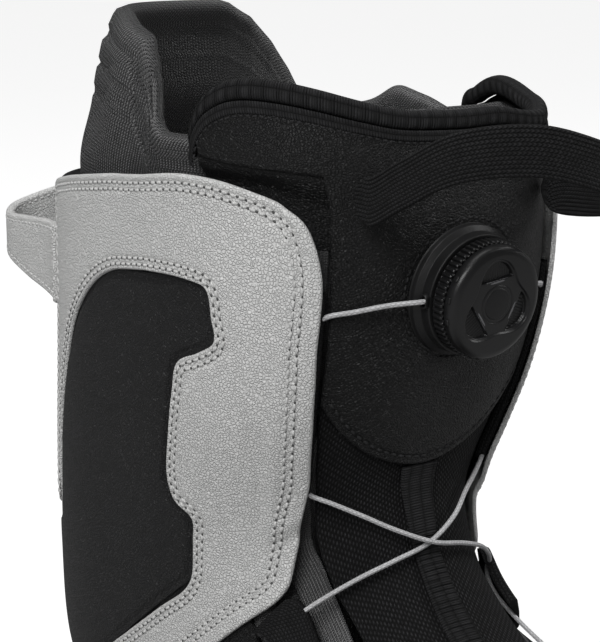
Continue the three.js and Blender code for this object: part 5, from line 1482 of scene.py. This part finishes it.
# ======== Stage ========
def make_stage(stage):
    """A pale floor, a pale surround, and a large soft key with two fills."""
    tree, sockets = new_finish("studio floor", Roughness=0.9, Specular_IOR_Level=0.1)
    place = node(tree, "ShaderNodeTexCoord").outputs["Object"]
    drift = group(tree, "Drift and rub", Vector=place, Patches_per_metre=0.6)
    tree.links.new(tone(tree, drift["Drift"], (0.34, 0.34, 0.34), (0.38, 0.38, 0.38)), sockets["Base Color"])
    seen = node(tree, "ShaderNodeLightPath").outputs["Is Camera Ray"]
    sockets["Emission Color"].default_value = (1, 1, 1, 1)
    tree.links.new(maths(tree, "MULTIPLY", seen, stage.floor_glow), sockets["Emission Strength"])
    size = 60.0
    corners = np.array([[-size, -size, 0], [size, -size, 0], [size, size, 0], [-size, size, 0]])
    floor = bpy.data.meshes.new("studio_floor")
    floor.from_pydata((corners - [0, 0, 0.0002]).tolist(), [], [(0, 1, 2, 3)])
    floor.materials.append(bpy.data.materials["studio floor"])
    floor_piece = bpy.data.objects.new("studio_floor", floor)
    bpy.context.scene.collection.objects.link(floor_piece)
    for name, at, width, power, aim in (
            ("key", (-1.5, -0.9, 1.9), 1.3, stage.key_power, (0, 0, 0.2)),
            ("right_fill", (1.6, -0.6, 1.2), 0.9, stage.fill_power, (0, 0, 0.15)),
            ("top", (0.0, 0.4, 2.2), 1.4, stage.fill_power, (0, 0, 0.1))):
        lamp = bpy.data.lights.new(name, "AREA")
        lamp.size, lamp.energy = width, power
        piece = bpy.data.objects.new(name, lamp)
        piece.location = at
        piece.rotation_euler = (Vector(at) - Vector(aim)).to_track_quat("Z", "Y").to_euler()
        bpy.context.scene.collection.objects.link(piece)
    world = bpy.data.worlds.new("studio")
    world.use_nodes = True
    back = world.node_tree.nodes["Background"]
    seen = node(world.node_tree, "ShaderNodeLightPath").outputs["Is Camera Ray"]
    shade = maths(world.node_tree, "MULTIPLY_ADD", seen, 1.0 - stage.world_strength, stage.world_strength)
    world.node_tree.links.new(shade, back.inputs["Strength"])
    back.inputs["Color"].default_value = (1, 1, 1, 1)
    bpy.context.scene.world = world
    bpy.context.scene.view_settings.view_transform = "Standard"
    bpy.context.scene.view_settings.exposure = stage.exposure


def make_camera(stage):
    """The camera, round the boot at an azimuth and elevation and looking at a point of it."""
    azimuth, elevation = stage.azimuth, stage.elevation
    target = Vector(CAMERA_TARGET)
    level = np.cos(elevation)
    back = Vector((np.sin(azimuth) * level, -np.cos(azimuth) * level, np.sin(elevation)))
    lens = bpy.data.cameras.new("view")
    lens.lens, lens.sensor_width, lens.sensor_fit = stage.lens, 36.0, "AUTO"
    lens.clip_start, lens.clip_end = 0.01, 200.0
    camera = bpy.data.objects.new("view", lens)
    camera.location = target + back * stage.distance
    camera.rotation_euler = back.to_track_quat("Z", "Y").to_euler()
    bpy.context.scene.collection.objects.link(camera)
    bpy.context.scene.camera = camera


# ======== Settings ========
def length(name, description, default, low, high):
    return bpy.props.FloatProperty(name=name, description=description, default=default, min=low, max=high,
                                   unit="LENGTH", subtype="DISTANCE", precision=5)


def colour(name, description, default):
    return bpy.props.FloatVectorProperty(name=name, description=description, default=default, size=3,
        min=0.0, max=1.0,
                                         subtype="COLOR")


class BootSizes(bpy.types.PropertyGroup):
    """Sizes that a user of the boot may change."""
    leather_thickness: length("Cuff leather", "Thickness of the white cuff leather", 0.0014, 0.0008, 0.0018)
    webbing_thickness: length("Pull loop", "Thickness of the front pull loop's webbing", 0.0019, 0.001,
        0.0022)
    lace_width: length("Lace", "Diameter of the lace", 0.0015, 0.001, 0.0017)
    stitch_length: length("Stitch length", "Length of one stitch", 0.0024, 0.001, 0.004)
    stitch_width: length("Stitch width", "Width of one stitch", 0.00095, 0.0004, 0.0014)
    stitch_pitch: length("Stitch pitch", "Distance from one stitch to the next", 0.0030, 0.0015, 0.005)


class BootLooks(bpy.types.PropertyGroup):
    """Colours of the boot's materials."""
    white_leather: colour("White leather", "Colour of the cuff and rear loop", (0.80, 0.80, 0.79))
    black_leather: colour("Black leather", "Colour of the black leather", (0.008, 0.008, 0.0085))
    knit: colour("Knit", "Colour of the liner knit", (0.014, 0.014, 0.015))
    webbing: colour("Webbing", "Colour of the webbing", (0.009, 0.009, 0.0095))
    lace: colour("Lace", "Colour of the lace", (0.62, 0.62, 0.63))
    plastic: colour("Plastic", "Colour of the dial's plastic", (0.009, 0.009, 0.0095))
    strip: colour("Dial strips", "Colour of the grey strips in the dial's cap", (0.20, 0.20, 0.21))
    rubber: colour("Rubber", "Colour of the sole's rubber", (0.014, 0.014, 0.0145))


class BootStage(bpy.types.PropertyGroup):
    """Camera and lights."""
    azimuth: bpy.props.FloatProperty(name="Azimuth", description="Turn of the camera round the boot",
        default=np.radians(-37.0),
                                     subtype="ANGLE", unit="ROTATION")
    elevation: bpy.props.FloatProperty(name="Elevation", description="Tilt of the camera above level",
        default=np.radians(12.0),
                                       subtype="ANGLE", unit="ROTATION")
    distance: length("Distance", "Distance of the camera from its target", 0.62, 0.3, 5.0)
    lens: bpy.props.FloatProperty(name="Lens", description="Focal length in millimetres", default=106.54,
        min=20.0, max=300.0)
    key_power: bpy.props.FloatProperty(name="Key", description="Power of the key light", default=46.0,
        min=0.0, unit="POWER")
    fill_power: bpy.props.FloatProperty(name="Fill", description="Power of the fill lights", default=9.0,
        min=0.0, unit="POWER")
    world_strength: bpy.props.FloatProperty(name="Surround", description="Strength of the surround's light",
        default=0.15, min=0.0)
    floor_glow: bpy.props.FloatProperty(name="Floor",
        description="How far the floor is lifted towards white", default=0.85, min=0.0)
    exposure: bpy.props.FloatProperty(name="Exposure", description="Exposure of the view", default=0.0)


# ======== Operators ========
class BOOT_OT_finishes(bpy.types.Operator):
    """Make the boot's materials"""
    bl_idname = "boot.finishes"
    bl_label = "Materials"

    def execute(self, context):
        make_finishes(context.scene.boot_looks)
        return {"FINISHED"}


class BOOT_OT_sole(bpy.types.Operator):
    """Build the outsole, the midsole and the footbed"""
    bl_idname = "boot.sole"
    bl_label = "Sole and footbed"

    def execute(self, context):
        make_outsole()
        make_midsole()
        make_footbed()
        return {"FINISHED"}


class BOOT_OT_shell(bpy.types.Operator):
    """Build the vamp, the quarters, their lining, the backstay and the gussets"""
    bl_idname = "boot.shell"
    bl_label = "Shell"

    def execute(self, context):
        sizes = context.scene.boot_sizes
        make_vamp(sizes)
        make_lining()
        make_backstay(sizes)
        make_collar()
        for side, word in SIDES:
            make_quarter(side, word, sizes)
            make_gusset(side, word)
        return {"FINISHED"}


class BOOT_OT_cuffs(bpy.types.Operator):
    """Build the two cuffs and their insets"""
    bl_idname = "boot.cuffs"
    bl_label = "Cuffs and insets"

    def execute(self, context):
        for side, word in SIDES:
            make_cuff(side, word, context.scene.boot_sizes)
            make_inset(side, word)
        return {"FINISHED"}


class BOOT_OT_tongue(bpy.types.Operator):
    """Build the tongue's pad, shield, web and binding"""
    bl_idname = "boot.tongue"
    bl_label = "Tongue"

    def execute(self, context):
        make_tongue(context.scene.boot_sizes)
        make_web()
        make_flaps()
        make_binding(context.scene.boot_sizes)
        return {"FINISHED"}


class BOOT_OT_liner(bpy.types.Operator):
    """Build the liner and its tongue"""
    bl_idname = "boot.liner"
    bl_label = "Liner"

    def execute(self, context):
        make_liner()
        make_liner_tongue()
        return {"FINISHED"}


class BOOT_OT_straps(bpy.types.Operator):
    """Build the lace guides, the rear loop and the front pull loop"""
    bl_idname = "boot.straps"
    bl_label = "Guides and loops"

    def execute(self, context):
        sizes = context.scene.boot_sizes
        for side, word in SIDES:
            make_guides(side, word, sizes)
        make_rear_loop(sizes)
        make_front_loop(sizes)
        return {"FINISHED"}


class BOOT_OT_lace(bpy.types.Operator):
    """Build the lace"""
    bl_idname = "boot.lace"
    bl_label = "Lace"

    def execute(self, context):
        make_lace(context.scene.boot_sizes)
        return {"FINISHED"}


class BOOT_OT_dial(bpy.types.Operator):
    """Build the dial's base, grip, cap and details"""
    bl_idname = "boot.dial"
    bl_label = "Dial"

    def execute(self, context):
        make_dial_base(context.scene.boot_sizes)
        make_grip()
        make_cap()
        make_knob_details()
        return {"FINISHED"}


class BOOT_OT_kept(bpy.types.Operator):
    """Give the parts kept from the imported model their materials"""
    bl_idname = "boot.kept"
    bl_label = "Inner parts"

    def execute(self, context):
        kept = {"insole_board": "board", "heel_counter": "board", "dial_spool": "satin plastic",
            "dial_pawl_ring": "satin plastic",
                "dial_axle": "grey strip", "knob_body": "satin plastic"}
        for name, look in kept.items():
            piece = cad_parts[name]
            piece.data.materials.append(finish(look)) if not piece.material_slots else None
            for material_slot in piece.material_slots:
                material_slot.link = "OBJECT"
                material_slot.material = finish(look)
        return {"FINISHED"}


class BOOT_OT_stage(bpy.types.Operator):
    """Build the floor, the lights and the camera"""
    bl_idname = "boot.stage"
    bl_label = "Stage"

    def execute(self, context):
        make_stage(context.scene.boot_stage)
        make_camera(context.scene.boot_stage)
        return {"FINISHED"}


OPERATORS = (BOOT_OT_finishes, BOOT_OT_stage, BOOT_OT_sole, BOOT_OT_shell, BOOT_OT_cuffs, BOOT_OT_tongue,
    BOOT_OT_liner,
             BOOT_OT_straps, BOOT_OT_lace, BOOT_OT_dial, BOOT_OT_kept)


class BOOT_PT_panel(bpy.types.Panel):
    """The boot's settings, and one button for each group of pieces"""
    bl_label = "Snowboard boot"
    bl_idname = "BOOT_PT_panel"
    bl_space_type = "VIEW_3D"
    bl_region_type = "UI"
    bl_category = "Boot"

    def draw(self, context):
        for settings in (context.scene.boot_sizes, context.scene.boot_looks, context.scene.boot_stage):
            box = self.layout.box()
            for key in settings.__annotations__:
                box.prop(settings, key)
        for operator in OPERATORS:
            self.layout.operator(operator.bl_idname)


SETTINGS = (("boot_sizes", BootSizes), ("boot_looks", BootLooks), ("boot_stage", BootStage))


def register():
    for name, kind in SETTINGS:
        bpy.utils.register_class(kind)
        setattr(bpy.types.Scene, name, bpy.props.PointerProperty(type=kind))
    for kind in (*OPERATORS, BOOT_PT_panel):
        bpy.utils.register_class(kind)


def unregister():
    for kind in (BOOT_PT_panel, *OPERATORS[::-1]):
        bpy.utils.unregister_class(kind)
    for name, kind in SETTINGS[::-1]:
        delattr(bpy.types.Scene, name)
        bpy.utils.unregister_class(kind)


def main():
    """Build everything in order."""
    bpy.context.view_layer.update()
    register()
    for operator in OPERATORS:
        group_name, action = operator.bl_idname.split(".")
        getattr(getattr(bpy.ops, group_name), action)()


if __name__ == "__main__":
    main()
